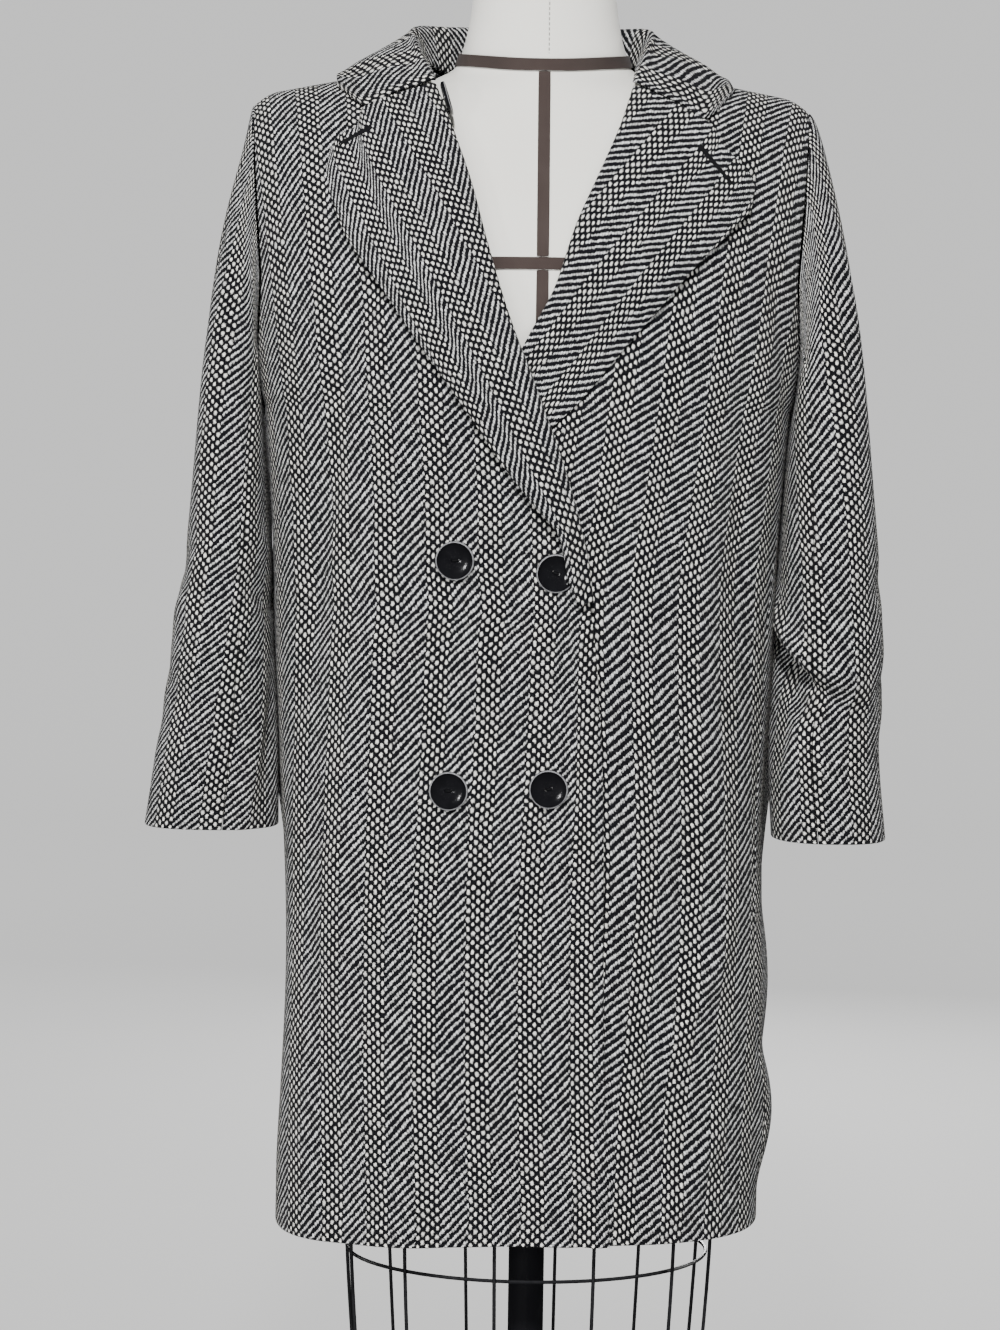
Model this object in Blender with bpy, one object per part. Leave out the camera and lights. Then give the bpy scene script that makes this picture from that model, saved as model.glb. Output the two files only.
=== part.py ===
"""Double-breasted herringbone coat worn by a limbless dress form.

Metres, +Z up, the front looks along -Y, the floor is Z = 0 and the pole stands on the origin.
Right and left are the wearer's, so the right side lies at -X.
"""
import math

import bmesh
import bpy
import numpy as np

for item in list(bpy.data.objects):
    bpy.data.objects.remove(item, do_unlink=True)

# Cloth
WALL = 0.003
LAPEL_WALL = 0.0026
COLLAR_WALL = 0.0022
SEAM = 0.0004
AXIS_X = -0.010

# Heights and widths of the coat, widths taken from the coat's own middle
HEM_Z = 0.473
ARMPIT_Z = 1.160
NECK_HALF = 0.092
NECK_Z = 1.447
SHOULDER_SLOPE = 0.190
SHOULDER_END = 0.212
SHOULDER_DROP = 0.016
SHOULDER_ROUND = 0.030
HEM_SAG = 0.008
HEM_SAG_TURN = -75.0
HEM_SAG_SPREAD = 42.0
NAPE_DROP = 0.014
NAPE_Y = 0.075
SHOULDER_GROW = 0.027
ARMHOLE_CUT = 0.062
ARMHOLE_RISE = 0.30
EDGE_LIFT = 0.0040
LAPEL_LIFT = 0.0048

BODY = (("z", "half", "front", "back", "power"), (
    (0.473, 0.207, 0.137, 0.132, 2.9),
    (0.600, 0.206, 0.138, 0.130, 2.9),
    (0.700, 0.205, 0.139, 0.127, 2.8),
    (0.840, 0.206, 0.140, 0.122, 2.7),
    (0.950, 0.211, 0.142, 0.119, 2.6),
    (1.040, 0.214, 0.144, 0.119, 2.6),
    (1.100, 0.2175, 0.144, 0.120, 2.6),
    (1.160, 0.222, 0.144, 0.121, 2.6)))
SIDE_SEAM = (("z", "right", "left"), (
    (0.473, -98.0, 79.0),
    (0.600, -98.0, 77.0),
    (0.710, -98.0, 72.0),
    (0.890, -98.0, 73.0),
    (1.020, -97.0, 75.0),
    (1.160, -90.0, 90.0)))
RIGHT_EDGE = (("z", "x"), (
    (0.473, 0.0640), (0.560, 0.0600), (0.700, 0.0560), (0.850, 0.0530), (0.960, 0.0460), (1.039, 0.0350),
    (1.100, 0.0190), (1.173, -0.0075), (1.234, -0.0313), (1.296, -0.0504), (1.341, -0.0628),
    (1.396, -0.0823), (1.4265, -0.0943), (1.4365, -0.0985), (1.447, -0.1020)))
LEFT_EDGE = (("z", "x"), (
    (0.473, -0.0980), (0.700, -0.0980), (0.960, -0.0960), (1.050, -0.0900), (1.120, -0.0570),
    (1.222, -0.0035), (1.255, 0.0137), (1.308, 0.0311), (1.347, 0.0480), (1.390, 0.0661),
    (1.4265, 0.0780), (1.4365, 0.0803), (1.447, 0.0820)))
# Standing folds of the body: where round it, how wide, how deep, between which heights
BODY_FOLDS = (("angle", "spread", "depth", "low", "high"), (
    (-128.0, 9.0, 0.007, 0.300, 1.120),
    (-158.0, 8.0, -0.005, 0.300, 1.000),
    (150.0, 9.0, 0.006, 0.300, 1.100),
    (118.0, 7.0, -0.005, 0.300, 0.980),
    (92.0, 24.0, 0.003, 0.480, 0.820),
    (88.0, 9.0, 0.006, 0.610, 0.745),
    (86.0, 10.0, 0.011, 0.500, 0.625),
    (-92.0, 24.0, -0.006, 0.520, 0.860),
    (-60.0, 5.0, -0.003, 0.860, 1.240),
    (58.0, 5.0, -0.003, 0.820, 1.200)))

# Sleeves: reach out from the coat's middle, front and back reach from the shoulder line
SLEEVE_JOIN_Z = 1.040
SLEEVE_RIGHT = (("z", "outer", "inner", "front", "back", "power"), (
    (0.802, 0.3235, 0.2095, 0.052, 0.038, 2.3),
    (0.870, 0.3140, 0.2110, 0.062, 0.048, 2.3),
    (0.950, 0.3010, 0.2145, 0.074, 0.062, 2.4),
    (1.040, 0.2880, 0.2180, 0.079, 0.074, 2.5)))
SLEEVE_LEFT = (("z", "outer", "inner", "front", "back", "power"), (
    (0.797, 0.3125, 0.2150, 0.052, 0.038, 2.3),
    (0.875, 0.3050, 0.2120, 0.062, 0.048, 2.3),
    (0.950, 0.3070, 0.2145, 0.076, 0.062, 2.4),
    (1.040, 0.3000, 0.2180, 0.080, 0.074, 2.5)))
HEAD_RIGHT = 0.008
HEAD_LEFT = -0.012
# Folds of the sleeves: turn round the sleeve, height, slant per turn, reach, width, depth
FOLDS_RIGHT = (("turn", "z", "slant", "reach", "width", "depth"), (
    (60.0, 1.010, -0.0004, 45.0, 0.014, 0.004),
    (40.0, 0.900, 0.0004, 50.0, 0.016, 0.004),
    (250.0, 0.980, 0.0003, 50.0, 0.016, 0.005)))
FOLDS_LEFT = (("turn", "z", "slant", "reach", "width", "depth"), (
    (130.0, 0.925, 0.0009, 42.0, 0.020, 0.013),
    (20.0, 0.905, 0.0002, 40.0, 0.018, 0.004),
    (240.0, 0.960, -0.0003, 50.0, 0.016, 0.005)))


def column(table, name, at):
    """Value of a named column on a smooth curve through the rows of a table."""
    names, rows = table
    keys = [row[0] for row in rows]
    values = [row[names.index(name)] for row in rows]
    if at <= keys[0]:
        return values[0]
    if at >= keys[-1]:
        return values[-1]
    k = max(i for i in range(len(keys) - 1) if keys[i] <= at)

    def slope(i):
        low, high = max(i - 1, 0), min(i + 1, len(keys) - 1)
        return (values[high] - values[low]) / (keys[high] - keys[low])

    span = keys[k + 1] - keys[k]
    t = (at - keys[k]) / span
    return ((1 + 2 * t) * (1 - t) ** 2 * values[k] + t * (1 - t) ** 2 * span * slope(k)
            + t * t * (3 - 2 * t) * values[k + 1] - t * t * (1 - t) * span * slope(k + 1))


def ease(value, start, end):
    """Smooth step from 0 at start to 1 at end."""
    t = min(max((value - start) / (end - start), 0.0), 1.0)
    return t * t * (3 - 2 * t)


def reach(turn, half, front, back, power):
    """Point of a superellipse, turned from the front towards +X, as two offsets."""
    s, c = math.sin(turn), math.cos(turn)
    deep = front if c > 0 else back
    r = ((abs(s) / half) ** power + (abs(c) / deep) ** power) ** (-1 / power)
    return r * s, -r * c


def seam_top(dx):
    """Height of the shoulder seam, or of the back neckline between the neck points."""
    off = abs(dx)
    if off >= NECK_HALF:
        end = max(off - SHOULDER_END, 0.0) / SHOULDER_ROUND
        return NECK_Z - SHOULDER_SLOPE * (off - NECK_HALF) - SHOULDER_DROP * end ** 2
    return NECK_Z - NAPE_DROP * (1 - (off / NECK_HALF) ** 2)


def nape(dx):
    """How far back the neckline runs."""
    off = abs(dx)
    return NAPE_Y * (1 - (off / NECK_HALF) ** 2) ** 0.8 if off < NECK_HALF else 0.0


def shoulder_half(rise):
    """Half width of the ring that carries the panels above the armpit."""
    return column(BODY, "half", ARMPIT_Z) + SHOULDER_GROW * max(rise, 0.0) ** 0.7


def body_folds(angle, z):
    """How far the standing folds push the cloth out."""
    names, rows = BODY_FOLDS
    total = 0.0
    for row in rows:
        fold = dict(zip(names, row))
        away = (angle - fold["angle"] + 180.0) % 360.0 - 180.0
        middle = (fold["low"] + fold["high"]) / 2
        length = (fold["high"] - fold["low"]) / 2
        along = max(0.0, 1 - ((z - middle) / length) ** 2)
        total += fold["depth"] * math.exp(-(away / fold["spread"]) ** 2) * along ** 1.5
    return total


def body(angle, level):
    """Outer face of the body: level 0 hem, 1 armpit, 2 shoulder seam."""
    turn = math.radians(angle)
    if level <= 1.0:
        z = HEM_Z + (ARMPIT_Z - HEM_Z) * level
        size = [column(BODY, name, z) for name in ("half", "front", "back", "power")]
        push = body_folds(angle, z)
        size = [size[0] + push, size[1] + push, size[2] + push, size[3]]
        dx, y = reach(turn, *size)
        away = (angle - HEM_SAG_TURN + 180.0) % 360.0 - 180.0
        sag = HEM_SAG * math.exp(-(away / HEM_SAG_SPREAD) ** 2) * (1 - level) ** 3
        return np.array((AXIS_X + dx, y, z - sag))
    arc = math.radians(90.0 * (level - 1.0))
    rise = math.sin(arc)
    size = [column(BODY, name, ARMPIT_Z) for name in ("half", "front", "back", "power")]
    z = ARMPIT_Z + (NECK_Z - ARMPIT_Z) * rise
    push = body_folds(angle, z)
    dx, y = reach(turn, shoulder_half(rise) + push, size[1] + push, size[2] + push, size[3])
    top = nape(dx) if y > 0 else 0.0
    z = ARMPIT_Z + (seam_top(dx) - ARMPIT_Z) * rise
    return np.array((AXIS_X + dx, top + (y - top) * math.cos(arc), z))


def normal(surface, u, v, du, dv):
    """Unit normal of a surface given as a function of two numbers."""
    along = surface(u + du, v) - surface(u - du, v)
    up = surface(u, v + dv) - surface(u, v - dv)
    n = np.cross(along, up)
    return n / np.linalg.norm(n)


def front_y(x, z):
    """Depth of the front under a point seen from the front."""
    dx = x - AXIS_X
    if z <= ARMPIT_Z:
        half, front, power = (column(BODY, name, z) for name in ("half", "front", "power"))
        return -front * max(1e-6, 1 - (abs(dx) / half) ** power) ** (1 / power)
    rise = min((z - ARMPIT_Z) / (seam_top(max(abs(dx), NECK_HALF)) - ARMPIT_Z), 0.9999)
    front, power = (column(BODY, name, ARMPIT_Z) for name in ("front", "power"))
    deep = front * max(1e-6, 1 - (abs(dx) / shoulder_half(rise)) ** power) ** (1 / power)
    return -deep * math.cos(math.asin(rise))


def lap(x, z):
    """How far the right front stands off, to lie over the left front and its lapel."""
    under = EDGE_LIFT * ease(x, -0.170, -0.105)
    roll = LAPEL_LIFT * ease(x, -0.110, -0.050) * ease(z, 0.98, 1.10) * (1 - ease(z, 1.22, 1.33))
    return under * (1 - ease(z, 1.24, 1.36)) + roll


def armhole(level, face):
    """Turn of the armhole edge, counted from the middle of the front or of the back."""
    share = 1 - ARMHOLE_CUT * ease(level, 1.0, 1.0 + ARMHOLE_RISE)
    half = shoulder_half(math.sin(math.radians(90.0 * (level - 1.0))))
    deep, power = column(BODY, face, ARMPIT_Z), column(BODY, "power", ARMPIT_Z)
    y = deep * (1 - share ** power) ** (1 / power)
    return math.degrees(math.atan2(half * share, y))


def edge_turn(table, level):
    """Turn at which a row meets the front edge or the roll line."""
    z = HEM_Z + (ARMPIT_Z - HEM_Z) * min(level, 1.0)
    for _ in range(24):
        x = column(table, "x", z)
        if level > 1.0:
            rise = math.sin(math.radians(90.0 * (level - 1.0)))
            z = ARMPIT_Z + (seam_top(max(abs(x - AXIS_X), NECK_HALF)) - ARMPIT_Z) * rise
    dx = x - AXIS_X
    rise = math.sin(math.radians(90.0 * max(level - 1.0, 0.0)))
    half = shoulder_half(rise) if level > 1.0 else column(BODY, "half", z)
    front, power = (column(BODY, name, min(z, ARMPIT_Z)) for name in ("front", "power"))
    y = front * (1 - (abs(dx) / half) ** power) ** (1 / power)
    return math.degrees(math.atan2(dx, y))


materials = {}


def material(name, colour, roughness, metallic=0.0):
    """One plain material for each kind of piece."""
    made = bpy.data.materials.new(name)
    made.use_nodes = True
    shader = made.node_tree.nodes["Principled BSDF"]
    shader.inputs["Base Color"].default_value = (*colour, 1.0)
    shader.inputs["Roughness"].default_value = roughness
    shader.inputs["Metallic"].default_value = metallic
    materials[name] = made


material("tweed", (0.20, 0.20, 0.20), 0.95)
material("button", (0.012, 0.012, 0.014), 0.18)
material("cover", (0.70, 0.68, 0.62), 0.85)
material("tape", (0.075, 0.055, 0.050), 0.80)
material("wire", (0.015, 0.015, 0.016), 0.40, 0.6)
material("stand", (0.018, 0.018, 0.020), 0.35, 0.7)


def solid(name, points, faces, kind, smooth=True):
    """One named object from points and faces, its faces turned outward."""
    mesh = bpy.data.meshes.new(name)
    mesh.from_pydata([tuple(float(v) for v in p) for p in points], [], faces)
    work = bmesh.new()
    work.from_mesh(mesh)
    bmesh.ops.recalc_face_normals(work, faces=work.faces)
    if work.calc_volume(signed=True) < 0:
        bmesh.ops.reverse_faces(work, faces=work.faces)
    work.to_mesh(mesh)
    work.free()
    for face in mesh.polygons:
        face.use_smooth = smooth
    mesh.materials.append(materials[kind])
    made = bpy.data.objects.new(name, mesh)
    bpy.context.scene.collection.objects.link(made)
    return made


def wall(name, outer, inner, kind, closed=False):
    """A wall between two grids of points, its rims closed; closed joins the last column to the first."""
    outer, inner = np.array(outer), np.array(inner)
    rows, cols = outer.shape[:2]
    count = rows * cols
    points = np.concatenate((outer.reshape(-1, 3), inner.reshape(-1, 3)))

    def at(row, col, side):
        return side * count + row * cols + col % cols

    faces = []
    for r in range(rows - 1):
        for c in range(cols if closed else cols - 1):
            faces.append((at(r, c, 0), at(r, c + 1, 0), at(r + 1, c + 1, 0), at(r + 1, c, 0)))
            faces.append((at(r, c, 1), at(r + 1, c, 1), at(r + 1, c + 1, 1), at(r, c + 1, 1)))
    if closed:
        rims = [[(r, c) for c in range(cols)] for r in (0, rows - 1)]
    else:
        rims = [[(0, c) for c in range(cols)] + [(r, cols - 1) for r in range(1, rows)]
                + [(rows - 1, c) for c in range(cols - 2, -1, -1)] + [(r, 0) for r in range(rows - 2, 0, -1)]]
    for rim in rims:
        for here, there in zip(rim, rim[1:] + rim[:1]):
            faces.append((at(*here, 0), at(*there, 0), at(*there, 1), at(*here, 1)))
    return solid(name, points, faces, kind)


def skin(name, rings, kind, smooth=True):
    """A solid through closed rings of points, its two ends flat."""
    rings = np.array(rings)
    rows, cols = rings.shape[:2]
    faces = [tuple(range(cols)), tuple((rows - 1) * cols + c for c in range(cols))]
    for r in range(rows - 1):
        for c in range(cols):
            d = (c + 1) % cols
            faces.append((r * cols + c, r * cols + d, (r + 1) * cols + d, (r + 1) * cols + c))
    return solid(name, rings.reshape(-1, 3), faces, kind, smooth)


# Fronts and back: rows from the hem to the shoulder seam, columns from the side to the front edge
LEVELS = [0.0, 0.10, 0.20, 0.30, 0.40, 0.50, 0.60, 0.70, 0.80, 0.90, 1.0,
          1.08, 1.16, 1.26, 1.38, 1.50, 1.62, 1.74, 1.86, 1.95, 2.0]
FRONT_COLUMNS = 15
BACK_COLUMNS = 25
SEAM_DEGREES = 0.06


def side_turn(side, level):
    """Turn of the side seam below the armpit."""
    z = HEM_Z + (ARMPIT_Z - HEM_Z) * level
    return column(SIDE_SEAM, side, z)


def panel(turns_at, lift):
    """Outer and inner grids of a panel, given the two end turns of each row."""
    outer, inner = [], []
    for level in LEVELS:
        start, end, count = turns_at(level)
        row_out, row_in = [], []
        held = min(level, 1.999)
        for k in range(count):
            turn = start + (end - start) * k / (count - 1)
            p = body(turn, level)
            n = normal(body, turn, held, 0.5, 0.001)
            stand = lift(p[0], p[2]) if lift else 0.0
            p = p + np.array((0.0, -stand, 0.0))
            if level == 2.0:
                p = p + np.array((0.0, SEAM / 2 * (1 if abs(turn) > 90 else -1), 0.0))
            row_out.append(p)
            row_in.append(p - n * WALL)
        outer.append(row_out)
        inner.append(row_in)
    return outer, inner


def right_turns(level):
    side = -armhole(level, "front") if level > 1.0 else side_turn("right", level)
    return side + SEAM_DEGREES, edge_turn(RIGHT_EDGE, level), FRONT_COLUMNS


def left_turns(level):
    side = armhole(level, "front") if level > 1.0 else side_turn("left", level)
    return edge_turn(LEFT_EDGE, level), side - SEAM_DEGREES, FRONT_COLUMNS


def back_turns(level):
    if level > 1.0:
        start, end = 180.0 - armhole(level, "back"), 180.0 + armhole(level, "back")
    else:
        start, end = side_turn("left", level), 360.0 + side_turn("right", level)
    return start + SEAM_DEGREES, end - SEAM_DEGREES, BACK_COLUMNS


wall("front_right", *panel(right_turns, lap), "tweed")
wall("front_left", *panel(left_turns, None), "tweed")
wall("back", *panel(back_turns, None), "tweed")

# Sleeves: each line runs from the armhole over the sleeve head and down to the cuff
ARMHOLE_LEVELS = (("turn", "level"), (
    (0.0, 2.0), (45.0, 1.70), (75.0, 1.42), (100.0, 1.17), (120.0, 1.095), (150.0, 1.04), (180.0, 1.0)))
SLEEVE_STEPS = [0.0, 0.10, 0.22, 0.36, 0.52, 0.68, 0.84]
SLEEVE_DROPS = 8
SLEEVE_COLUMNS = 24
UNDER_FROM, UNDER_TO = 7, 17
ARM_GAP = 0.0009
SLEEVE_WALL = 0.0026
SLEEVE_SEAM = 0.32
BODY_CLEAR = 0.0015


def armhole_point(sign, turn):
    """Point of the armhole edge: 0 at the shoulder, 90 at the front, 180 under the arm."""
    half = turn if turn <= 180.0 else 360.0 - turn
    level = column(ARMHOLE_LEVELS, "level", half)
    angle = armhole(level, "front") if turn <= 180.0 else 180.0 - armhole(level, "back")
    return body(sign * angle, level)


def tube(table, folds, sign, turn, z):
    """Point of the hanging sleeve at a height."""
    outer, inner, front, back, power = (column(table, name, z) for name in table[0][1:])
    middle, half = (outer + inner) / 2, (outer - inner) / 2
    dent = 0.0
    for row in folds[1]:
        fold = dict(zip(folds[0], row))
        away = (turn - fold["turn"] + 180.0) % 360.0 - 180.0
        down = z - fold["z"] - fold["slant"] * away
        dent += fold["depth"] * math.exp(-(away / fold["reach"]) ** 2 - (down / fold["width"]) ** 2)
    off, y = reach(math.radians(90.0 - turn), half - dent * 0.4, front - dent, back - dent, power)
    return np.array((AXIS_X + sign * (middle + off), y, z))


def body_side(y, z):
    """Half width of the body at a depth and height, where a sleeve lies against it."""
    if z <= ARMPIT_Z:
        half, front, back, power = (column(BODY, name, z) for name in BODY[0][1:])
        arc = 0.0
    else:
        front, back, power = (column(BODY, name, ARMPIT_Z) for name in BODY[0][2:])
        rise = min((z - ARMPIT_Z) / (NECK_Z - ARMPIT_Z), 0.99)
        half, arc = shoulder_half(rise), math.asin(rise)
    deep = (front if y < 0 else back) * math.cos(arc)
    return half * max(1e-6, 1 - (abs(y) / deep) ** power) ** (1 / power) if abs(y) < deep else 0.0


def sleeve(sign, table, folds, head):
    """Surface of a sleeve as a function of turn and step, 0 armhole, 1 joint, 2 cuff."""
    cuff = table[1][0][0]

    def point(turn, step):
        turn = turn % 360.0
        if step >= 1.0:
            return tube(table, folds, sign, turn, SLEEVE_JOIN_Z + (cuff - SLEEVE_JOIN_Z) * (step - 1.0))
        start = armhole_point(sign, turn) + np.array((sign * ARM_GAP, 0.0, 0.0))
        end = tube(table, folds, sign, turn, SLEEVE_JOIN_Z)
        lean = (end - tube(table, folds, sign, turn, SLEEVE_JOIN_Z - 0.04)) / 0.04
        bend = end + lean * (start[2] - 0.012 - end[2])
        full = max(math.cos(math.radians(turn)), 0.0)
        bend[0] += sign * head * full
        bend[1] += (start[1] - bend[1]) * 0.55
        p = start * (1 - step) ** 2 + bend * 2 * step * (1 - step) + end * step ** 2
        clear = body_side(p[1], p[2]) + ARM_GAP + BODY_CLEAR * ease(step, 0.0, 0.3)
        if 95.0 < turn < 265.0 and sign * (p[0] - AXIS_X) < clear and step > 0.0:
            p[0] = AXIS_X + sign * clear
        return p

    return point


def sleeve_grid(sign, point, first, last):
    """Outer and inner grids of one sleeve piece between two of its lines."""
    cell = 360.0 / SLEEVE_COLUMNS
    steps = SLEEVE_STEPS + [1.0 + k / SLEEVE_DROPS for k in range(SLEEVE_DROPS + 1)]
    outer, inner = [], []
    for step in steps:
        row_out, row_in = [], []
        for k in range(first, last + 1):
            nudge = SLEEVE_SEAM if k == first else -SLEEVE_SEAM if k == last else 0.0
            turn = k * cell
            held = min(max(step, 0.012), 1.985)
            n = normal(point, turn, held, 1.0, 0.01) * sign
            hug = max(-math.cos(math.radians(turn)), 0.0)
            edge = np.array((-sign * hug, n[1] * (1 - hug), n[2] * (1 - hug)))
            at_edge = 1 - ease(step, 0.0, 0.3 + 0.3 * hug)
            n = edge / np.linalg.norm(edge) * at_edge + n * (1 - at_edge)
            n = n / np.linalg.norm(n)
            p = point(turn + nudge, step)
            row_out.append(p)
            row_in.append(p - n * SLEEVE_WALL)
        outer.append(row_out)
        inner.append(row_in)
    return outer, inner


for side, sign, table, folds, head in (("right", -1, SLEEVE_RIGHT, FOLDS_RIGHT, HEAD_RIGHT),
                                       ("left", 1, SLEEVE_LEFT, FOLDS_LEFT, HEAD_LEFT)):
    surface = sleeve(sign, table, folds, head)
    wall(f"sleeve_{side}_under", *sleeve_grid(sign, surface, UNDER_FROM, UNDER_TO), "tweed")
    wall(f"sleeve_{side}_top", *sleeve_grid(sign, surface, UNDER_TO, UNDER_FROM + SLEEVE_COLUMNS), "tweed")

# Lapels: a patch between the roll line, the outer edge and the top line, laid on its front
LAPEL_ROWS = 15
LAPEL_SECTION = (("share", "flat", "over", "height"), (
    (0.00, 0.0045, 0.0046, 0.0014), (0.00, 0.0030, 0.0040, 0.0052), (0.00, 0.0012, 0.0010, 0.0080),
    (0.12, 0.0, 0.0, 0.0078), (0.28, 0.0, 0.0, 0.0060), (0.45, 0.0, 0.0, 0.0046), (0.65, 0.0, 0.0, 0.0040),
    (0.85, 0.0, 0.0, 0.0037), (1.00, 0.0, 0.0, 0.0036)))
LAPEL_FLAT = 0.0036
FOOT_LIFT = 0.0042
RIGHT_LAPEL = {
    "roll": ((0.0400, 1.004), (0.0350, 1.039), (0.0190, 1.100), (-0.0075, 1.173), (-0.0313, 1.234),
             (-0.0504, 1.296), (-0.0628, 1.341), (-0.0823, 1.396), (-0.0943, 1.4265)),
    "edge": ((0.0340, 0.9995), (0.0265, 1.012), (0.0222, 1.026), (0.0195, 1.040), (0.0150, 1.0568),
             (-0.0067, 1.0828), (-0.0306, 1.112), (-0.0555, 1.1485), (-0.0762, 1.177), (-0.1145, 1.2313),
             (-0.1376, 1.2642), (-0.1555, 1.2886), (-0.1695, 1.3179), (-0.1772, 1.347), (-0.1752, 1.3681)),
    "top": ((-0.0943, 1.4265), (-0.1477, 1.4050), (-0.1535, 1.3883), (-0.1685, 1.3790), (-0.1752, 1.3681))}
LEFT_LAPEL = {
    "roll": ((-0.0250, 1.180), (-0.0035, 1.222), (0.0137, 1.255), (0.0311, 1.308), (0.0480, 1.347),
             (0.0661, 1.390), (0.0780, 1.4265)),
    "edge": ((-0.0060, 1.131), (0.0096, 1.1437), (0.0328, 1.1664), (0.0616, 1.2013), (0.0898, 1.2341),
             (0.1225, 1.2728), (0.1405, 1.2914), (0.1579, 1.3099), (0.1688, 1.3219), (0.1730, 1.3414)),
    "top": ((0.0780, 1.4265), (0.1329, 1.3967), (0.1484, 1.3734), (0.1558, 1.3658), (0.1672, 1.3539),
            (0.1730, 1.3414))}


def along(points, share):
    """Point at a share of the length of a line of points."""
    points = np.array(points)
    lengths = np.concatenate(((0.0,), np.cumsum(np.linalg.norm(np.diff(points, axis=0), axis=1))))
    at = share * lengths[-1]
    return np.array([np.interp(at, lengths, points[:, k]) for k in range(points.shape[1])])


def patch(lines, u, v):
    """Point of the flat pattern of a lapel, u from the roll line out, v from the foot up."""
    roll, edge, top = along(lines["roll"], v), along(lines["edge"], v), along(lines["top"], u)
    foot_in, foot_out = along(lines["roll"], 0.0), along(lines["edge"], 0.0)
    top_in, top_out = along(lines["roll"], 1.0), along(lines["edge"], 1.0)
    return ((1 - u) * roll + u * edge + (1 - v) * ((1 - u) * foot_in + u * foot_out) + v * top
            - (1 - u) * (1 - v) * foot_in - u * (1 - v) * foot_out - (1 - u) * v * top_in - u * v * top_out)


def grid_normals(grid):
    """Unit normals of a grid of points."""
    down = np.gradient(grid, axis=0)
    across = np.gradient(grid, axis=1)
    n = np.cross(across, down)
    return n / np.linalg.norm(n, axis=2, keepdims=True)


def lapel(name, lines, toward, lift, full, foot):
    """A lapel whose roll turns over past the edge of its front."""
    names, rows = LAPEL_SECTION
    outer, thick = [], []
    for k in range(LAPEL_ROWS):
        v = k / (LAPEL_ROWS - 1)
        row = []
        for values in rows:
            part = dict(zip(names, values))
            x, z = patch(lines, part["share"], v)
            puff = full(v, z)
            thick.append(LAPEL_WALL * (0.4 + 0.6 * puff ** 2))
            x += toward * (part["flat"] + (part["over"] - part["flat"]) * puff)
            height = LAPEL_FLAT + (part["height"] - LAPEL_FLAT) * puff + foot(v)
            stand = lift(x, z) if lift else 0.0
            row.append((x, front_y(x, z) - stand - height, z))
        outer.append(row)
    outer = np.array(outer)
    n = grid_normals(outer)
    if np.mean(n[:, -1, 1]) > 0:
        n = -n
    wall(name, outer, outer - n * np.array(thick).reshape(*outer.shape[:2], 1), "tweed")


lapel("lapel_right", RIGHT_LAPEL, 1, lap, lambda v, z: ease(v, 0.0, 0.20),
      lambda v: FOOT_LIFT * (1 - ease(v, 0.10, 0.24)))
lapel("lapel_left", LEFT_LAPEL, -1, None, lambda v, z: ease(z, 1.190, 1.285), lambda v: 0.0)

# Collar: sections from the neck seam up the stand, over the fold and down the fall
COLLAR_ROWS = 27
COLLAR_OFF = 0.0066
COLLAR = (("share", "fold_x", "fold_y", "fold_z", "edge_x", "edge_y", "seam_x", "seam_y", "seam_z"), (
    (0.0, 0.000, 0.083, 1.4905, 0.000, 0.0920, 0.0000, 0.0750, 1.4365),
    (0.2, 0.038, 0.077, 1.4900, 0.048, 0.0850, 0.0355, 0.0655, 1.4390),
    (0.4, 0.074, 0.053, 1.4875, 0.102, 0.0560, 0.0660, 0.0420, 1.4445),
    (0.6, 0.100, 0.018, 1.4820, 0.143, 0.0270, 0.0875, 0.0080, 1.4510),
    (0.8, 0.0970, -0.020, 1.4620, 0.163, -0.0040, 0.0865, -0.0265, 1.4485)))
COLLAR_END = (("share", "over", "height"), (
    (0.00, 0.0050, 0.0016), (0.00, 0.0050, 0.0062), (0.00, 0.0012, 0.0092),
    (0.12, 0.0, 0.0088), (0.30, 0.0, 0.0068)))
COLLAR_TIP = {-1: (0.1620, 1.4270), 1: (0.1690, 1.4270)}
NOTCH_HEIGHT = 0.0060
TIP_HEIGHT = 0.0095
GORGE_GAP = 0.0025
LIP_GAP = 0.0034
FALL_CLEAR = 0.0075
FOLD_HALF = 0.0062
FOLD_DROP = 0.0065


def panel_z(dx, y):
    """Height of the shoulder at a point seen from above."""
    top = nape(dx) if y > 0 else 0.0
    half, power = shoulder_half(1.0), column(BODY, "power", ARMPIT_Z)
    deep = column(BODY, "back" if y > 0 else "front", ARMPIT_Z)
    deep *= (1 - (abs(dx) / half) ** power) ** (1 / power)
    share = min(max((abs(y) - top) / (deep - top), 0.0), 1.0)
    return ARMPIT_Z + (seam_top(dx) - ARMPIT_Z) * math.sqrt(1 - share ** 2)


def collar_section(side, row):
    """Seven points of the collar, seam to outer edge, on one side of the neck."""
    part = dict(zip(COLLAR[0], row))
    fold = np.array((part["fold_x"], part["fold_y"], part["fold_z"]))
    seam = np.array((part["seam_x"], part["seam_y"], part["seam_z"]))
    edge = np.array((part["edge_x"], part["edge_y"], panel_z(part["edge_x"], part["edge_y"]) + COLLAR_OFF))
    out = np.array((fold[0], fold[1], 0.0))
    out = out / np.linalg.norm(out)
    inside = fold - out * FOLD_HALF - np.array((0, 0, FOLD_DROP))
    outside = fold + out * FOLD_HALF - np.array((0, 0, FOLD_DROP * 0.7))
    swell = np.array((0.0, 0.0, 0.003)) + out * 0.002
    points = [seam, inside, fold, outside,
              outside + (edge - outside) * 0.36 + swell, outside + (edge - outside) * 0.70 + swell * 0.6, edge]
    return [(AXIS_X + side * p[0], p[1], p[2]) for p in points]


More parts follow.
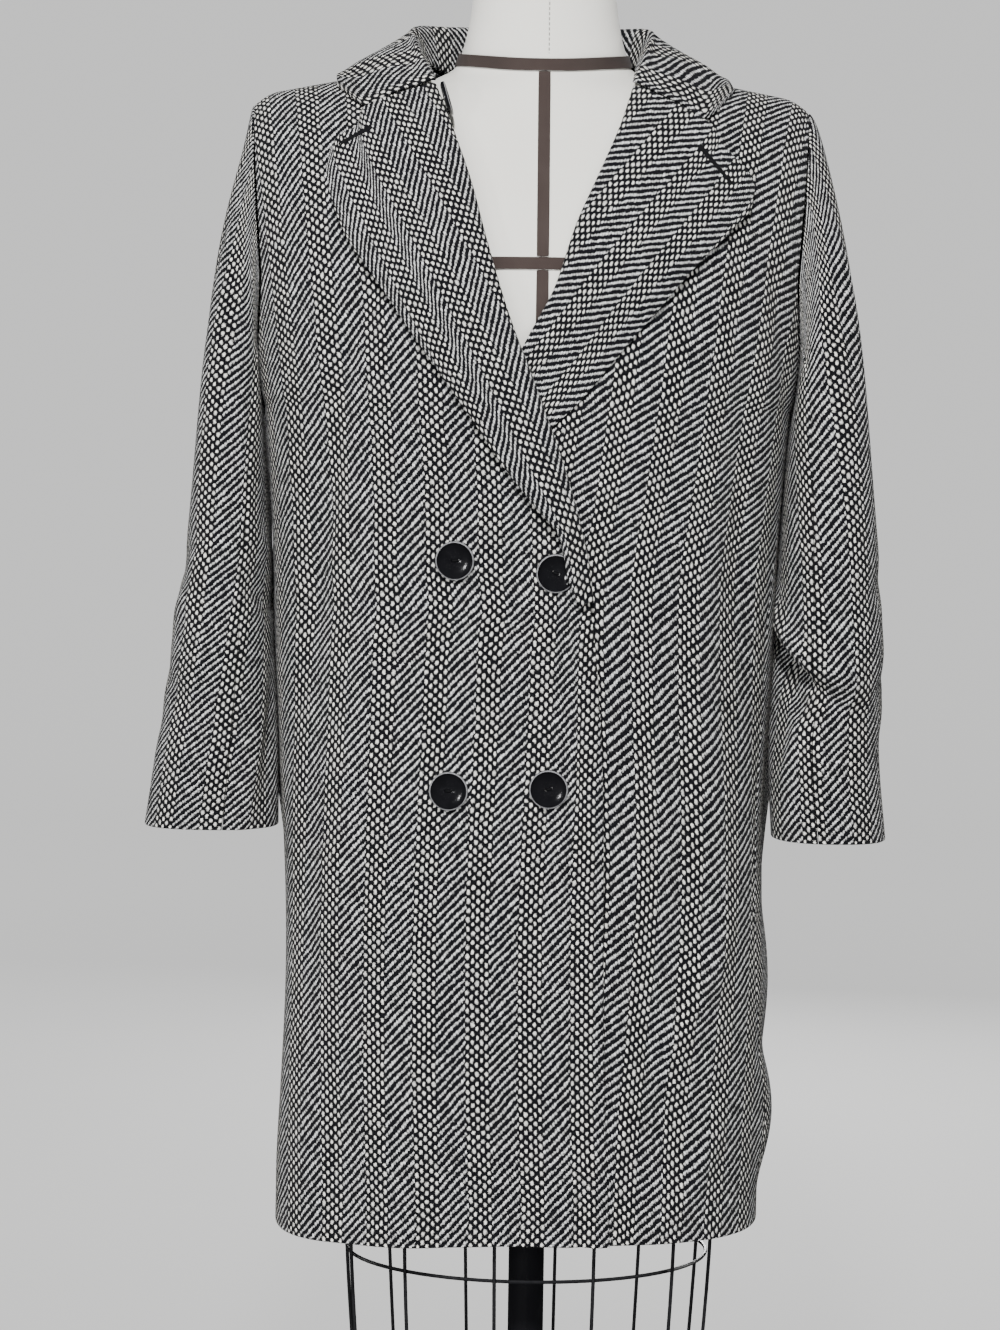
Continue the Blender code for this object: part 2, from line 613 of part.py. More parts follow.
def collar_end(side):
    """The last section, along the gorge to the notch and on to the tip."""
    top = (LEFT_LAPEL if side > 0 else RIGHT_LAPEL)["top"]

    def on_front(x, z, height):
        return np.array((x, front_y(x, z) - height, z))

    points = []
    for share, over, height in COLLAR_END[1]:
        x, z = along(top, share)
        points.append(on_front(x - side * over, z + (GORGE_GAP if share > 0 else LIP_GAP), height))
    points.append(on_front(top[1][0], top[1][1] + GORGE_GAP, NOTCH_HEIGHT))
    x, z = COLLAR_TIP[side]
    points.append(on_front(AXIS_X + side * x, z, TIP_HEIGHT))
    return points


sections = [collar_end(-1)] + [collar_section(-1, row) for row in reversed(COLLAR[1])]
sections += [collar_section(1, row) for row in COLLAR[1][1:]] + [collar_end(1)]
stations = (("at",) + tuple(range(21)), [
    (k, *[v for p in section for v in p]) for k, section in enumerate(sections)])
collar = []
for k in range(COLLAR_ROWS):
    at = k * (len(sections) - 1) / (COLLAR_ROWS - 1)
    values = [column(stations, name, at) for name in range(21)]
    section = np.array(values).reshape(7, 3)
    for p in section[3:]:
        if p[1] < 0:
            p[1] = min(p[1], front_y(p[0], p[2]) - FALL_CLEAR)
    collar.append(section)
collar = np.array(collar)
collar_n = grid_normals(collar)
if np.mean(collar_n[:, -1, 2]) < 0:
    collar_n = -collar_n
for k, row in enumerate(collar_n):
    end = ease(abs(2 * k / (COLLAR_ROWS - 1) - 1), 0.50, 0.80)
    row[:3] *= 1 - 0.5 * end
wall("collar", collar, collar - collar_n * COLLAR_WALL, "tweed")

# Buttons: dished rounds with a raised rim, each on its own place of the right front
BUTTON_SIDES = 16
BUTTON_SEAT = 0.0006
BUTTON = (("radius", "height"), (
    (0.0130, 0.0000), (0.0157, 0.0014), (0.0158, 0.0034), (0.0148, 0.0046), (0.0130, 0.0044), (0.0050, 0.0028)))
BUTTON_PLACES = {"button_upper_outer": (-0.0670, 1.0360), "button_upper_edge": (0.0140, 1.0270),
                 "button_lower_outer": (-0.0700, 0.8490), "button_lower_edge": (0.0110, 0.8520)}
THROAT_SCALE = 0.90
THROAT_AT = (-0.08215, -0.0775, 1.4107)
THROAT_AXIS = (0.957, -0.05, 0.29)


def button(name, seat, axis, scale=1.0):
    """A round turned from its profile, standing on its seat along an axis."""
    axis = np.array(axis) / np.linalg.norm(axis)
    side = np.cross((0.0, 0.0, 1.0), axis)
    side = side / np.linalg.norm(side)
    up = np.cross(axis, side)
    rings = []
    for radius, height in BUTTON[1]:
        ring = []
        for k in range(BUTTON_SIDES):
            turn = 2 * math.pi * k / BUTTON_SIDES
            ring.append(np.array(seat) + axis * height * scale
                        + (side * math.cos(turn) + up * math.sin(turn)) * radius * scale)
        rings.append(ring)
    skin(name, rings, "button")


def right_front(x, z):
    """Outer face of the right front at a point seen from the front."""
    return np.array((x, front_y(x, z) - lap(x, z), z))


for name, (x, z) in BUTTON_PLACES.items():
    lean = normal(right_front, x, z, 0.012, 0.012)
    lean = lean if lean[1] < 0 else -lean
    button(name, right_front(x, z) + lean * BUTTON_SEAT, lean)
button("button_throat", THROAT_AT, THROAT_AXIS, THROAT_SCALE)

# Dress form: a smooth trunk and neck, taped, on a pole, with a wire cage below
FORM = (("z", "half", "front", "back", "power"), (
    (0.690, 0.164, 0.108, 0.112, 2.2),
    (0.780, 0.168, 0.112, 0.116, 2.2),
    (0.900, 0.150, 0.104, 0.104, 2.2),
    (1.010, 0.128, 0.098, 0.090, 2.1),
    (1.120, 0.146, 0.114, 0.096, 2.1),
    (1.230, 0.160, 0.124, 0.103, 2.2),
    (1.300, 0.162, 0.112, 0.098, 2.2),
    (1.360, 0.158, 0.088, 0.088, 2.1),
    (1.400, 0.148, 0.068, 0.074, 1.9),
    (1.420, 0.130, 0.062, 0.066, 1.6),
    (1.434, 0.105, 0.059, 0.060, 1.25),
    (1.440, 0.0855, 0.0575, 0.0525, 1.35),
    (1.446, 0.0755, 0.0565, 0.0515, 1.6),
    (1.454, 0.0715, 0.055, 0.053, 2.0),
    (1.475, 0.065, 0.053, 0.052, 2.0),
    (1.510, 0.060, 0.052, 0.051, 2.0),
    (1.534, 0.058, 0.051, 0.050, 2.0),
    (1.540, 0.052, 0.046, 0.046, 2.0)))
FORM_COLUMNS = 32
TAPE_WIDE = 0.010
TAPE_OFF = 0.0006
TAPE_WALL = 0.0010
BUST_Z = 1.276
NECK_TAPE_Z = 1.4530
NECK_TAPE_DIP = 0.0105
NECK_TAPE_OFF = 0.0014
FORM_ROWS = [0.690, 0.730, 0.780, 0.840, 0.900, 0.960, 1.010, 1.065, 1.120, 1.175, 1.230,
             BUST_Z - TAPE_WIDE / 2, BUST_Z + TAPE_WIDE / 2, 1.320, 1.360, 1.385, 1.405, 1.422, 1.434, 1.440,
             1.446, 1.452, 1.458, 1.466, 1.480, 1.505, 1.534, 1.540]


def form(angle, z, out=0.0):
    """Face of the dress form."""
    half, front, back, power = (column(FORM, name, z) for name in FORM[0][1:])
    x, y = reach(math.radians(angle), half + out, front + out, back + out, power)
    return np.array((x, y, z))


FORM_TURNS = [360.0 * k / FORM_COLUMNS for k in range(FORM_COLUMNS)]
skin("form_torso", [[form(turn, z) for turn in FORM_TURNS] for z in FORM_ROWS], "cover")


def tape_round(name, z, dip, off_by):
    """A tape round the form, lower at the front by its dip."""
    grids = []
    for out in (off_by + TAPE_WALL, off_by):
        grid = []
        for off in (-TAPE_WIDE / 2, 0.0, TAPE_WIDE / 2):
            grid.append([form(turn, z + off - dip * math.cos(math.radians(turn)), out) for turn in FORM_TURNS])
        grids.append(grid)
    wall(name, *grids, "tape", closed=True)


def tape_down(name, low, high):
    """A tape down the middle of the front, a wall of three columns."""
    levels = [low] + [z for z in FORM_ROWS if low + 0.004 < z < high - 0.004] + [high]
    grids = []
    for out in (TAPE_OFF + TAPE_WALL, TAPE_OFF):
        grid = []
        for z in levels:
            turn = math.degrees(math.atan2(TAPE_WIDE / 2, column(FORM, "front", z)))
            grid.append([form(side * turn, z, out) for side in (-1, 0, 1)])
        grids.append(grid)
    wall(name, *grids, "tape")


tape_round("tape_neck", NECK_TAPE_Z, NECK_TAPE_DIP, NECK_TAPE_OFF)
tape_round("tape_bust", BUST_Z, 0.0, TAPE_OFF)
tape_down("tape_centre_upper", BUST_Z + TAPE_WIDE / 2 + SEAM,
          NECK_TAPE_Z - NECK_TAPE_DIP - TAPE_WIDE / 2 - SEAM)
tape_down("tape_centre_lower", FORM_ROWS[0] + SEAM, BUST_Z - TAPE_WIDE / 2 - SEAM)

# Cage: twelve wires hang from the trunk outside three rings
WIRE = 0.0016
WIRE_SIDES = 6
WIRE_GAP = 0.0003
RIBS = 12
RIB_START = 20.0
CAGE = (("z", "half", "deep"), (
    (0.313, 0.1510, 0.1080), (0.436, 0.1600, 0.1170), (0.560, 0.1620, 0.1170), (0.6897, 0.1570, 0.1020)))
RIB_LEVELS = [0.311, 0.375, 0.436, 0.500, 0.570, 0.630, 0.6897]
HOOPS = (("name", "z"), (("cage_ring_low", 0.3135), ("cage_ring_middle", 0.436), ("cage_ring_high", 0.680)))
HOOP_COLUMNS = 36


def cage(angle, z, out=0.0):
    """Middle of the wire at a turn and height."""
    turn = math.radians(angle)
    return np.array(((column(CAGE, "half", z) + out) * math.sin(turn),
                     -(column(CAGE, "deep", z) + out) * math.cos(turn), z))


for k in range(RIBS):
    angle = RIB_START + 360.0 * k / RIBS
    rings = []
    for z in RIB_LEVELS:
        middle = cage(angle, z)
        rings.append([middle + WIRE * np.array((math.cos(2 * math.pi * s / WIRE_SIDES),
                                                math.sin(2 * math.pi * s / WIRE_SIDES), 0.0))
                      for s in range(WIRE_SIDES)])
    skin(f"cage_rib_{k + 1:02d}", rings, "wire")

for name, z in HOOPS[1]:
    inset = -(2 * WIRE + WIRE_GAP) * 1.12
    points, faces = [], []
    for k in range(HOOP_COLUMNS):
        angle = 360.0 * k / HOOP_COLUMNS
        for s in range(WIRE_SIDES):
            round_by = 2 * math.pi * s / WIRE_SIDES
            middle = cage(angle, z, inset + WIRE * math.cos(round_by))
            points.append(middle + np.array((0.0, 0.0, WIRE * math.sin(round_by))))
            ahead = (k + 1) % HOOP_COLUMNS
            faces.append((k * WIRE_SIDES + s, k * WIRE_SIDES + (s + 1) % WIRE_SIDES,
                          ahead * WIRE_SIDES + (s + 1) % WIRE_SIDES, ahead * WIRE_SIDES + s))
    solid(name, points, faces, "wire")

# Pole and base
POLE_RADIUS = 0.0155
TURNED_SIDES = 32
HUB_TOP = 0.060
BASE = (("radius", "z"), (
    (0.205, 0.0), (0.210, 0.004), (0.210, 0.012), (0.200, 0.018), (0.120, 0.024), (0.046, 0.030),
    (0.032, 0.038), (0.028, HUB_TOP)))


def turned(name, profile, kind):
    """A round turned about the pole."""
    rings = []
    for radius, z in profile:
        rings.append([(radius * math.cos(2 * math.pi * k / TURNED_SIDES),
                       radius * math.sin(2 * math.pi * k / TURNED_SIDES), z) for k in range(TURNED_SIDES)])
    skin(name, rings, kind)


turned("stand_base", BASE[1], "stand")
turned("stand_pole", ((POLE_RADIUS, HUB_TOP + SEAM), (POLE_RADIUS, FORM_ROWS[0] - SEAM)), "stand")
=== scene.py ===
"""Herringbone tweed coat on a dress form: the looks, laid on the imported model."""
import math

import bmesh
import bpy
import numpy as np
from mathutils import Matrix, Vector


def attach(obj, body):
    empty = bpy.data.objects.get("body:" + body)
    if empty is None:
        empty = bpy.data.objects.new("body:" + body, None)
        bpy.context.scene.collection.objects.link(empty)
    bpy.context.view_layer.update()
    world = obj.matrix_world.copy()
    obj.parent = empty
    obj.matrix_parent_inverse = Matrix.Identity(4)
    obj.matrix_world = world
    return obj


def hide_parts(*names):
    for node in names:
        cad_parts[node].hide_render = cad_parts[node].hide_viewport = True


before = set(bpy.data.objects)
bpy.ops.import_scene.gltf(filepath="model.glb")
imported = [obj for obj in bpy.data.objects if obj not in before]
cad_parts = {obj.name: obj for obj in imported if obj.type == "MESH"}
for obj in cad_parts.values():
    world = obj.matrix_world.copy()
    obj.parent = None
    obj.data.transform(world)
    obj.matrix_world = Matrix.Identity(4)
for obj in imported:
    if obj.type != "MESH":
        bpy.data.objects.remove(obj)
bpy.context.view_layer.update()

# The set: a round studio whose pale floor curves up into a wall, the same from every side. Its paper
# glows by itself and throws no light on the coat. A long lens looks slightly down from chest height, and
# lamps stand low in front, overhead, to the left, at both sides and behind.
VIEW_FROM, VIEW_LENS, VIEW_TILT, VIEW_ROLL = (-0.03, -2.53, 1.125), 80.2, 85.85, 0.8
COVE_RADIUS, COVE_STEP, COVE_STEPS, COVE_WALL = 6.6, 0.16, 12, 2.2
GLOW_FROM, GLOW_OVER = 1.0, 4.0
LAMPS = (("name", "place", "aim", "size", "watts", "mirrored"), (
    ("lamp_front", (-0.2, -2.6, 0.5), (0.0, 0.0, 0.7), 1.2, 74.0, False),
    ("lamp_over", (-0.3, -4.3, 4.0), (0.0, 0.0, 0.9), 0.4, 590.0, False),
    ("lamp_left", (-2.0, -2.7, 1.25), (0.0, 0.0, 0.9), 0.3, 26.0, True),
    ("lamp_side_left", (-3.0, 0.7, 1.6), (0.0, 0.0, 1.0), 0.8, 36.0, True),
    ("lamp_side_right", (3.0, 0.7, 1.6), (0.0, 0.0, 1.0), 0.8, 36.0, True),
    ("lamp_back", (0.5, 3.4, 1.6), (0.0, 0.0, 1.0), 1.0, 170.0, True)))
view = bpy.data.cameras.new("view")
view.lens, view.sensor_width = VIEW_LENS, 36.0
camera = bpy.data.objects.new("view", view)
bpy.context.scene.collection.objects.link(camera)
camera.location = VIEW_FROM
camera.rotation_euler = (Matrix.Rotation(math.radians(VIEW_TILT), 3, "X")
                         @ Matrix.Rotation(math.radians(VIEW_ROLL), 3, "Z")).to_euler()
bpy.context.scene.camera = camera


class Value:
    """A socket of a finish. Sums written on it add Math nodes to the same finish."""

    def __init__(self, finish, socket):
        self.finish, self.socket = finish, socket

    def sum(self, operation, first, second=0.0):
        return self.finish.add("ShaderNodeMath", {"operation": operation}, {0: first, 1: second})

    def __add__(self, other):
        return self.sum("ADD", self, other)

    def __sub__(self, other):
        return self.sum("SUBTRACT", self, other)

    def __mul__(self, other):
        return self.sum("MULTIPLY", self, other)

    def __truediv__(self, other):
        return self.sum("DIVIDE", self, other)

    def __mod__(self, other):
        return self.sum("FLOORED_MODULO", self, other)

    def __lt__(self, other):
        return self.sum("LESS_THAN", self, other)

    def __gt__(self, other):
        return self.sum("GREATER_THAN", self, other)

    def __rsub__(self, other):
        return self.sum("SUBTRACT", other, self)

    def __pow__(self, other):
        return self.sum("POWER", self, other)

    def __abs__(self):
        return self.sum("ABSOLUTE", self)

    __radd__, __rmul__ = __add__, __mul__

    def floor(self):
        return self.sum("FLOOR", self)

    def sine(self):
        return self.sum("SINE", self)

    def clamp(self):
        return self.finish.add("ShaderNodeClamp", {}, {"Value": self})


class Finish:
    """A material by name, with its shader's fixed numbers and one way to add a node."""

    def __init__(self, name, **fixed):
        self.material = bpy.data.materials.new(name)
        self.material.use_nodes = True
        self.tree = self.material.node_tree
        self.shader = self.tree.nodes["Principled BSDF"]
        for socket, value in fixed.items():
            self.shader.inputs[socket.replace("_", " ")].default_value = value

    def feed(self, node, sockets):
        for key, value in sockets.items():
            if isinstance(value, Value):
                self.tree.links.new(value.socket, node.inputs[key])
            else:
                node.inputs[key].default_value = (*value, 1.0) if isinstance(value, tuple) else value

    def add(self, kind, settings, sockets, out=0):
        node = self.tree.nodes.new(kind)
        for key, value in settings.items():
            setattr(node, key, value)
        self.feed(node, sockets)
        return Value(self, node.outputs[out])

    def place(self):
        """Object coordinates as a point and as three numbers, in metres."""
        point = self.add("ShaderNodeTexCoord", {}, {}, "Object")
        return (point, *self.split(point))

    def split(self, point):
        """The three numbers of a point or a colour."""
        parts = self.add("ShaderNodeSeparateXYZ", {}, {0: point}).socket.node
        return [Value(self, socket) for socket in parts.outputs]

    def noise(self, point, scale, detail=2.0, out=0):
        return self.add("ShaderNodeTexNoise", {}, {"Vector": point, "Scale": scale, "Detail": detail}, out)

    def chance(self, first, second):
        """A number from 0 to 1, steady over each pair of whole numbers."""
        pair = self.add("ShaderNodeCombineXYZ", {}, {0: first, 1: second})
        return self.add("ShaderNodeTexWhiteNoise", {"noise_dimensions": "2D"}, {"Vector": pair})

    def mix(self, share, first, second):
        return self.add("ShaderNodeMix", {"data_type": "RGBA"}, {0: share, 6: first, 7: second}, 2)

    def bump(self, height, distance, strength=1.0):
        return self.add("ShaderNodeBump", {}, {"Height": height, "Distance": distance, "Strength": strength})

    def wear(self, **sockets):
        self.feed(self.shader, {key.replace("_", " "): value for key, value in sockets.items()})


paper = Finish("pale_paper", Roughness=0.92, Emission_Strength=1.0)
spot, across, deep, _ = paper.place()
paper_mottle = paper.noise(spot, 2.2)
far_off = (((across * across + deep * deep) ** 0.5 - GLOW_FROM) / GLOW_OVER).clamp()
paper.wear(Base_Color=paper.mix(paper_mottle, (0.100, 0.100, 0.099), (0.115, 0.115, 0.114)),
           Emission_Color=paper.mix(far_off, (0.66, 0.66, 0.655), (0.80, 0.80, 0.795)))
bpy.ops.object.select_all(action="DESELECT")
bpy.ops.mesh.primitive_circle_add(vertices=96, radius=COVE_RADIUS, fill_type="NGON")
cove = bpy.context.object
cove.name = "studio_cove"
bpy.ops.object.mode_set(mode="EDIT")
bpy.ops.mesh.select_all(action="SELECT")
bpy.ops.mesh.region_to_loop()
radius = COVE_RADIUS
for step in range(COVE_STEPS):
    turn = math.radians(90.0 * (step + 0.5) / COVE_STEPS)
    bpy.ops.mesh.extrude_edges_move(TRANSFORM_OT_translate={"value": (0.0, 0.0, COVE_STEP * math.sin(turn))})
    bpy.ops.transform.resize(value=((radius + COVE_STEP * math.cos(turn)) / radius,) * 2 + (1.0,))
    radius += COVE_STEP * math.cos(turn)
bpy.ops.mesh.extrude_edges_move(TRANSFORM_OT_translate={"value": (0.0, 0.0, COVE_WALL)})
bpy.ops.object.mode_set(mode="OBJECT")
bpy.ops.object.shade_smooth()
cove.data.materials.append(paper.material)
cove.visible_diffuse = cove.visible_glossy = False

for row in LAMPS[1]:
    part = dict(zip(LAMPS[0], row))
    lamp = bpy.data.lights.new(part["name"], "AREA")
    lamp.energy, lamp.size = part["watts"], part["size"]
    holder = bpy.data.objects.new(part["name"], lamp)
    holder.visible_camera, holder.visible_glossy = False, part["mirrored"]
    bpy.context.scene.collection.objects.link(holder)
    holder.location = part["place"]
    holder.rotation_euler = (Vector(part["aim"]) - Vector(part["place"])).to_track_quat("-Z", "Y").to_euler()
room = bpy.data.worlds.new("room")
room.use_nodes = True
sky = room.node_tree.nodes["Background"].inputs
sky["Color"].default_value, sky["Strength"].default_value = (0.86, 0.87, 0.90, 1.0), 0.03
bpy.context.scene.world = room

# Stand: a weighted round base and a steel pole, both turned and stove-enamelled black. The enamel
# shows a faint orange peel and a few rubbed marks.
enamel = Finish("black_enamel", Specular_IOR_Level=0.3)
spot, *_ = enamel.place()
peel = enamel.noise(spot, 420.0)
rubs = (enamel.noise(spot, 26.0, 6.0) * 3.0 - 1.5).clamp()
enamel.wear(Base_Color=enamel.mix(rubs, (0.006, 0.006, 0.007), (0.014, 0.014, 0.015)),
            Roughness=0.32 + rubs * 0.14, Normal=enamel.bump(peel, 0.0002, 0.3))


def smooth_copy(node, name, finish, levels, crease=40.0):
    """A rounded copy of a solid, its facets gone and its sharp rims kept, standing for it."""
    bpy.ops.object.select_all(action="DESELECT")
    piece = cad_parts[node].copy()
    piece.data = piece.data.copy()
    piece.name, piece.data.name = name, name
    piece.parent = None
    for key in list(piece.keys()):
        del piece[key]
    bpy.context.scene.collection.objects.link(piece)
    piece.data.materials.clear()
    piece.data.materials.append(finish.material)
    work = bmesh.new()
    work.from_mesh(piece.data)
    bmesh.ops.remove_doubles(work, verts=work.verts, dist=0.00002)
    bmesh.ops.join_triangles(work, faces=work.faces, angle_face_threshold=0.9, angle_shape_threshold=1.2)
    sharp = work.edges.layers.float.new("crease_edge")
    for edge in work.edges:
        if edge.is_manifold and edge.calc_face_angle() > math.radians(crease):
            edge[sharp] = 0.85
    work.to_mesh(piece.data)
    work.free()
    piece.select_set(True)
    bpy.context.view_layer.objects.active = piece
    if piece.data.has_custom_normals:
        bpy.ops.mesh.customdata_custom_splitnormals_clear()
    rounder = piece.modifiers.new("round", "SUBSURF")
    rounder.levels = rounder.render_levels = levels
    bpy.ops.object.modifier_apply(modifier="round")
    bpy.ops.object.shade_smooth_by_angle(angle=math.radians(50.0))
    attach(piece, "root")
    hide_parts(node)


smooth_copy("stand_base", "round_base", enamel, 2, 28.0)
smooth_copy("stand_pole", "pole", enamel, 1)

# Cage: black lacquered wires hang from the trunk and are tacked to three hoops. The lacquer is a
# little thick and dull.
lacquer = Finish("wire_lacquer", Specular_IOR_Level=0.3)
spot, *_ = lacquer.place()
runs = lacquer.noise(spot, 160.0)
lacquer.wear(Base_Color=lacquer.mix(runs, (0.006, 0.006, 0.007), (0.014, 0.014, 0.015)),
             Roughness=0.34 + runs * 0.2, Normal=lacquer.bump(runs, 0.0003, 0.4))
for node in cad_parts:
    if node.startswith("cage_"):
        smooth_copy(node, node.replace("cage", "wire"), lacquer, 1)

# Trunk: a padded shell under a tight cream cotton cover. The cover is a plain weave, stitched up
# the middle of the neck, and a little yellowed in places.
THREADS, NECK_FROM_Z, NECK_SEAM_X = 6283.0, 1.452, 0.0035
cotton = Finish("cream_cotton", Roughness=0.88, Sheen_Weight=0.15, Sheen_Roughness=0.5)
spot, across, deep, height = cotton.place()
stain = cotton.noise(spot, 5.5, 4.0)
thread = 0.5 + 0.25 * ((across * THREADS).sine() + (height * THREADS).sine())
front_half = deep < 0.0
neck_only = height > NECK_FROM_Z
from_seam = abs(across - NECK_SEAM_X)
seam_line = (from_seam < 0.00045) * neck_only * front_half
dashes = ((height * 240.0) % 1.0) < 0.62
fold_line = (1.0 - from_seam * 700.0).clamp() * neck_only * front_half
cream = cotton.mix(stain, (0.58, 0.565, 0.52), (0.65, 0.64, 0.60))
cream = cotton.mix(thread * 0.10, cream, (0.50, 0.48, 0.43))
cotton.wear(Base_Color=cotton.mix(seam_line * dashes * 0.85, cream, (0.06, 0.055, 0.05)),
            Normal=cotton.bump(thread * 0.3 - fold_line, 0.0006, 0.5))
smooth_copy("form_torso", "trunk", cotton, 2, 60.0)

# Tapes: narrow cotton twill tape in a brown black, glued round the neck and the bust and up the
# middle of the front.
twill_tape = Finish("brown_black_tape", Roughness=0.86, Specular_IOR_Level=0.15, Sheen_Weight=0.05)
spot, across, deep, height = twill_tape.place()
ribs = 0.5 + 0.5 * ((across * 4.2 + height * 5.2) * 1000.0).sine()
fade = twill_tape.noise(spot, 30.0, 5.0)
brown = twill_tape.mix(fade, (0.030, 0.022, 0.020), (0.056, 0.043, 0.039))
twill_tape.wear(Base_Color=twill_tape.mix(ribs * 0.35, brown, (0.016, 0.012, 0.011)),
                Normal=twill_tape.bump(ribs, 0.0004, 0.6))
for node in ("tape_neck", "tape_bust", "tape_centre_upper", "tape_centre_lower"):
    smooth_copy(node, node.replace("tape", "twill"), twill_tape, 1, 30.0)

# Back of the coat: one panel of black and off-white wool, cut on the straight grain. It is seamed to
# the fronts down the sides and along the shoulders. The cloth repeats every 43 mm: a twill stripe
# whose lines all rise to the right, then a stripe of round nubs. The weave's sizes are in millimetres.
REPEAT, TWILL, PICK, RISE, YARN, NUB_ROWS = 43.0, 23.4, 7.5, 1.04, 2.0, 5.0
NUB_WIDE, NUB_TALL = 1.62, 2.31
tweed = Finish("herringbone_tweed", Roughness=0.96, Specular_IOR_Level=0.06, Sheen_Weight=0.02,
               Sheen_Roughness=0.6)
flat_place = tweed.add("ShaderNodeUVMap", {"uv_map": "cut"}, {})
wander, jitter, hair = (tweed.split(tweed.noise(flat_place, scale, 2.0, "Color"))
                        for scale in (45.0, 300.0, 800.0))
flat_u, flat_v, _ = tweed.split(flat_place)
weft = flat_u * 1000.0 + (wander[0] - 0.5) * 2.6 + (jitter[0] - 0.5) * 1.9 + (hair[0] - 0.5) * 1.7
warp = flat_v * 1000.0 + (wander[1] - 0.5) * 3.0 + (jitter[1] - 0.5) * 2.4 + (hair[1] - 0.5) * 2.0
stripe_no = (weft / REPEAT).floor() * 31.0
stripe = weft % REPEAT
yarn = stripe / YARN
yarn_no = yarn.floor()
yarn_mid = yarn - yarn_no - 0.5
climb = (warp - (yarn - yarn_mid * 0.62) * (YARN * RISE)) / PICK
line_no = climb.floor()
lean = climb - line_no - 0.5
line_luck = tweed.chance(yarn_no + stripe_no, line_no)
notch = yarn_mid * yarn_mid * 4.0
line = (1.06 - abs(lean) / (0.212 + line_luck * 0.090 - notch * 0.110)).clamp() ** 1.2
line_round = (1.0 - abs(lean) * 3.4).clamp() * (1.0 - notch * 0.6)
nub_at = (stripe - TWILL) * (NUB_ROWS / (REPEAT - TWILL))
nub_row = nub_at.floor()
nub_u = (nub_at - nub_row - 0.5) * 4.0
nub_climb = warp / PICK + nub_row * 0.5 + 0.25
nub_no = nub_climb.floor()
nub_v = (nub_climb - nub_no - 0.5) * PICK
nub_luck = tweed.chance(nub_row + stripe_no + 13.0, nub_no)
far = ((nub_u / NUB_WIDE) ** 2.0 + (nub_v / NUB_TALL) ** 2.0) * (0.80 + nub_luck * 0.50)
nub = (1.16 - far).clamp() ** 1.2
nub_round = (1.0 - far * 0.8).clamp()
in_nubs = stripe > TWILL
pale = line + (nub - line) * in_nubs
luck = line_luck + (nub_luck - line_luck) * in_nubs
high = line_round * line + (nub_round - line_round * line) * in_nubs
fuzz = tweed.noise(flat_place, 900.0, 3.0)
slub = tweed.noise(flat_place, 110.0, 3.0)
wool_bright = tweed.mix(in_nubs, (0.95, 0.95, 0.945), (0.98, 0.955, 0.885))
wool_white = tweed.mix((slub * 0.9 + luck * 0.75 - 0.20).clamp(), (0.46, 0.455, 0.44), wool_bright)
wool_white = tweed.mix((fuzz * 2.2 - 0.85).clamp() * 0.8, wool_white, (0.20, 0.20, 0.195))
wool_black = tweed.mix((fuzz * 2.4 - 1.05).clamp(), (0.002, 0.002, 0.0028), (0.015, 0.0155, 0.018))
ragged = (pale + (fuzz - 0.5) * 2.4 * pale * (1.0 - pale) * 4.0).clamp()
tweed.wear(Base_Color=tweed.mix(ragged, wool_black, wool_white),
           Normal=tweed.bump(high + fuzz * 0.3, 0.0012, 0.8))

AXIS_X = -0.010
HEM_Z, ARMPIT_Z = 0.473, 1.160
NECK_HALF, NECK_Z, NAPE_DROP, NAPE_Y = 0.092, 1.447, 0.014, 0.075
SHOULDER_SLOPE, SHOULDER_GROW = 0.190, 0.027
SHOULDER_END, SHOULDER_DROP, SHOULDER_ROUND = 0.212, 0.016, 0.030
HEM_SAG, HEM_SAG_TURN, HEM_SAG_SPREAD = 0.008, -75.0, 42.0
ARMHOLE_CUT, ARMHOLE_RISE = 0.062, 0.30
SEAM, SEAM_DEGREES = 0.0004, 0.06
BODY = (("z", "half", "front", "back", "power"), (
    (0.473, 0.207, 0.137, 0.132, 2.9), (0.600, 0.206, 0.138, 0.130, 2.9), (0.700, 0.205, 0.139, 0.127, 2.8),
    (0.840, 0.206, 0.140, 0.122, 2.7), (0.950, 0.211, 0.142, 0.119, 2.6), (1.040, 0.214, 0.144, 0.119, 2.6),
    (1.100, 0.2175, 0.144, 0.120, 2.6), (1.160, 0.222, 0.144, 0.121, 2.6)))
SIDE_SEAM = (("z", "right", "left"), (
    (0.473, -98.0, 79.0), (0.600, -98.0, 77.0), (0.710, -98.0, 72.0), (0.890, -98.0, 73.0),
    (1.020, -97.0, 75.0), (1.160, -90.0, 90.0)))
BODY_FOLDS = (("angle", "spread", "depth", "low", "high"), (
    (-128.0, 9.0, 0.007, 0.300, 1.120), (-158.0, 8.0, -0.005, 0.300, 1.000),
    (150.0, 9.0, 0.006, 0.300, 1.100), (118.0, 7.0, -0.005, 0.300, 0.980),
    (92.0, 24.0, 0.003, 0.480, 0.820), (88.0, 9.0, 0.006, 0.610, 0.745),
    (86.0, 10.0, 0.011, 0.500, 0.625), (-92.0, 24.0, -0.006, 0.520, 0.860),
    (-60.0, 5.0, -0.003, 0.860, 1.240), (58.0, 5.0, -0.003, 0.820, 1.200),
    (-106.0, 9.0, 0.020, 0.700, 1.150), (105.0, 10.0, 0.024, 0.700, 1.160)))


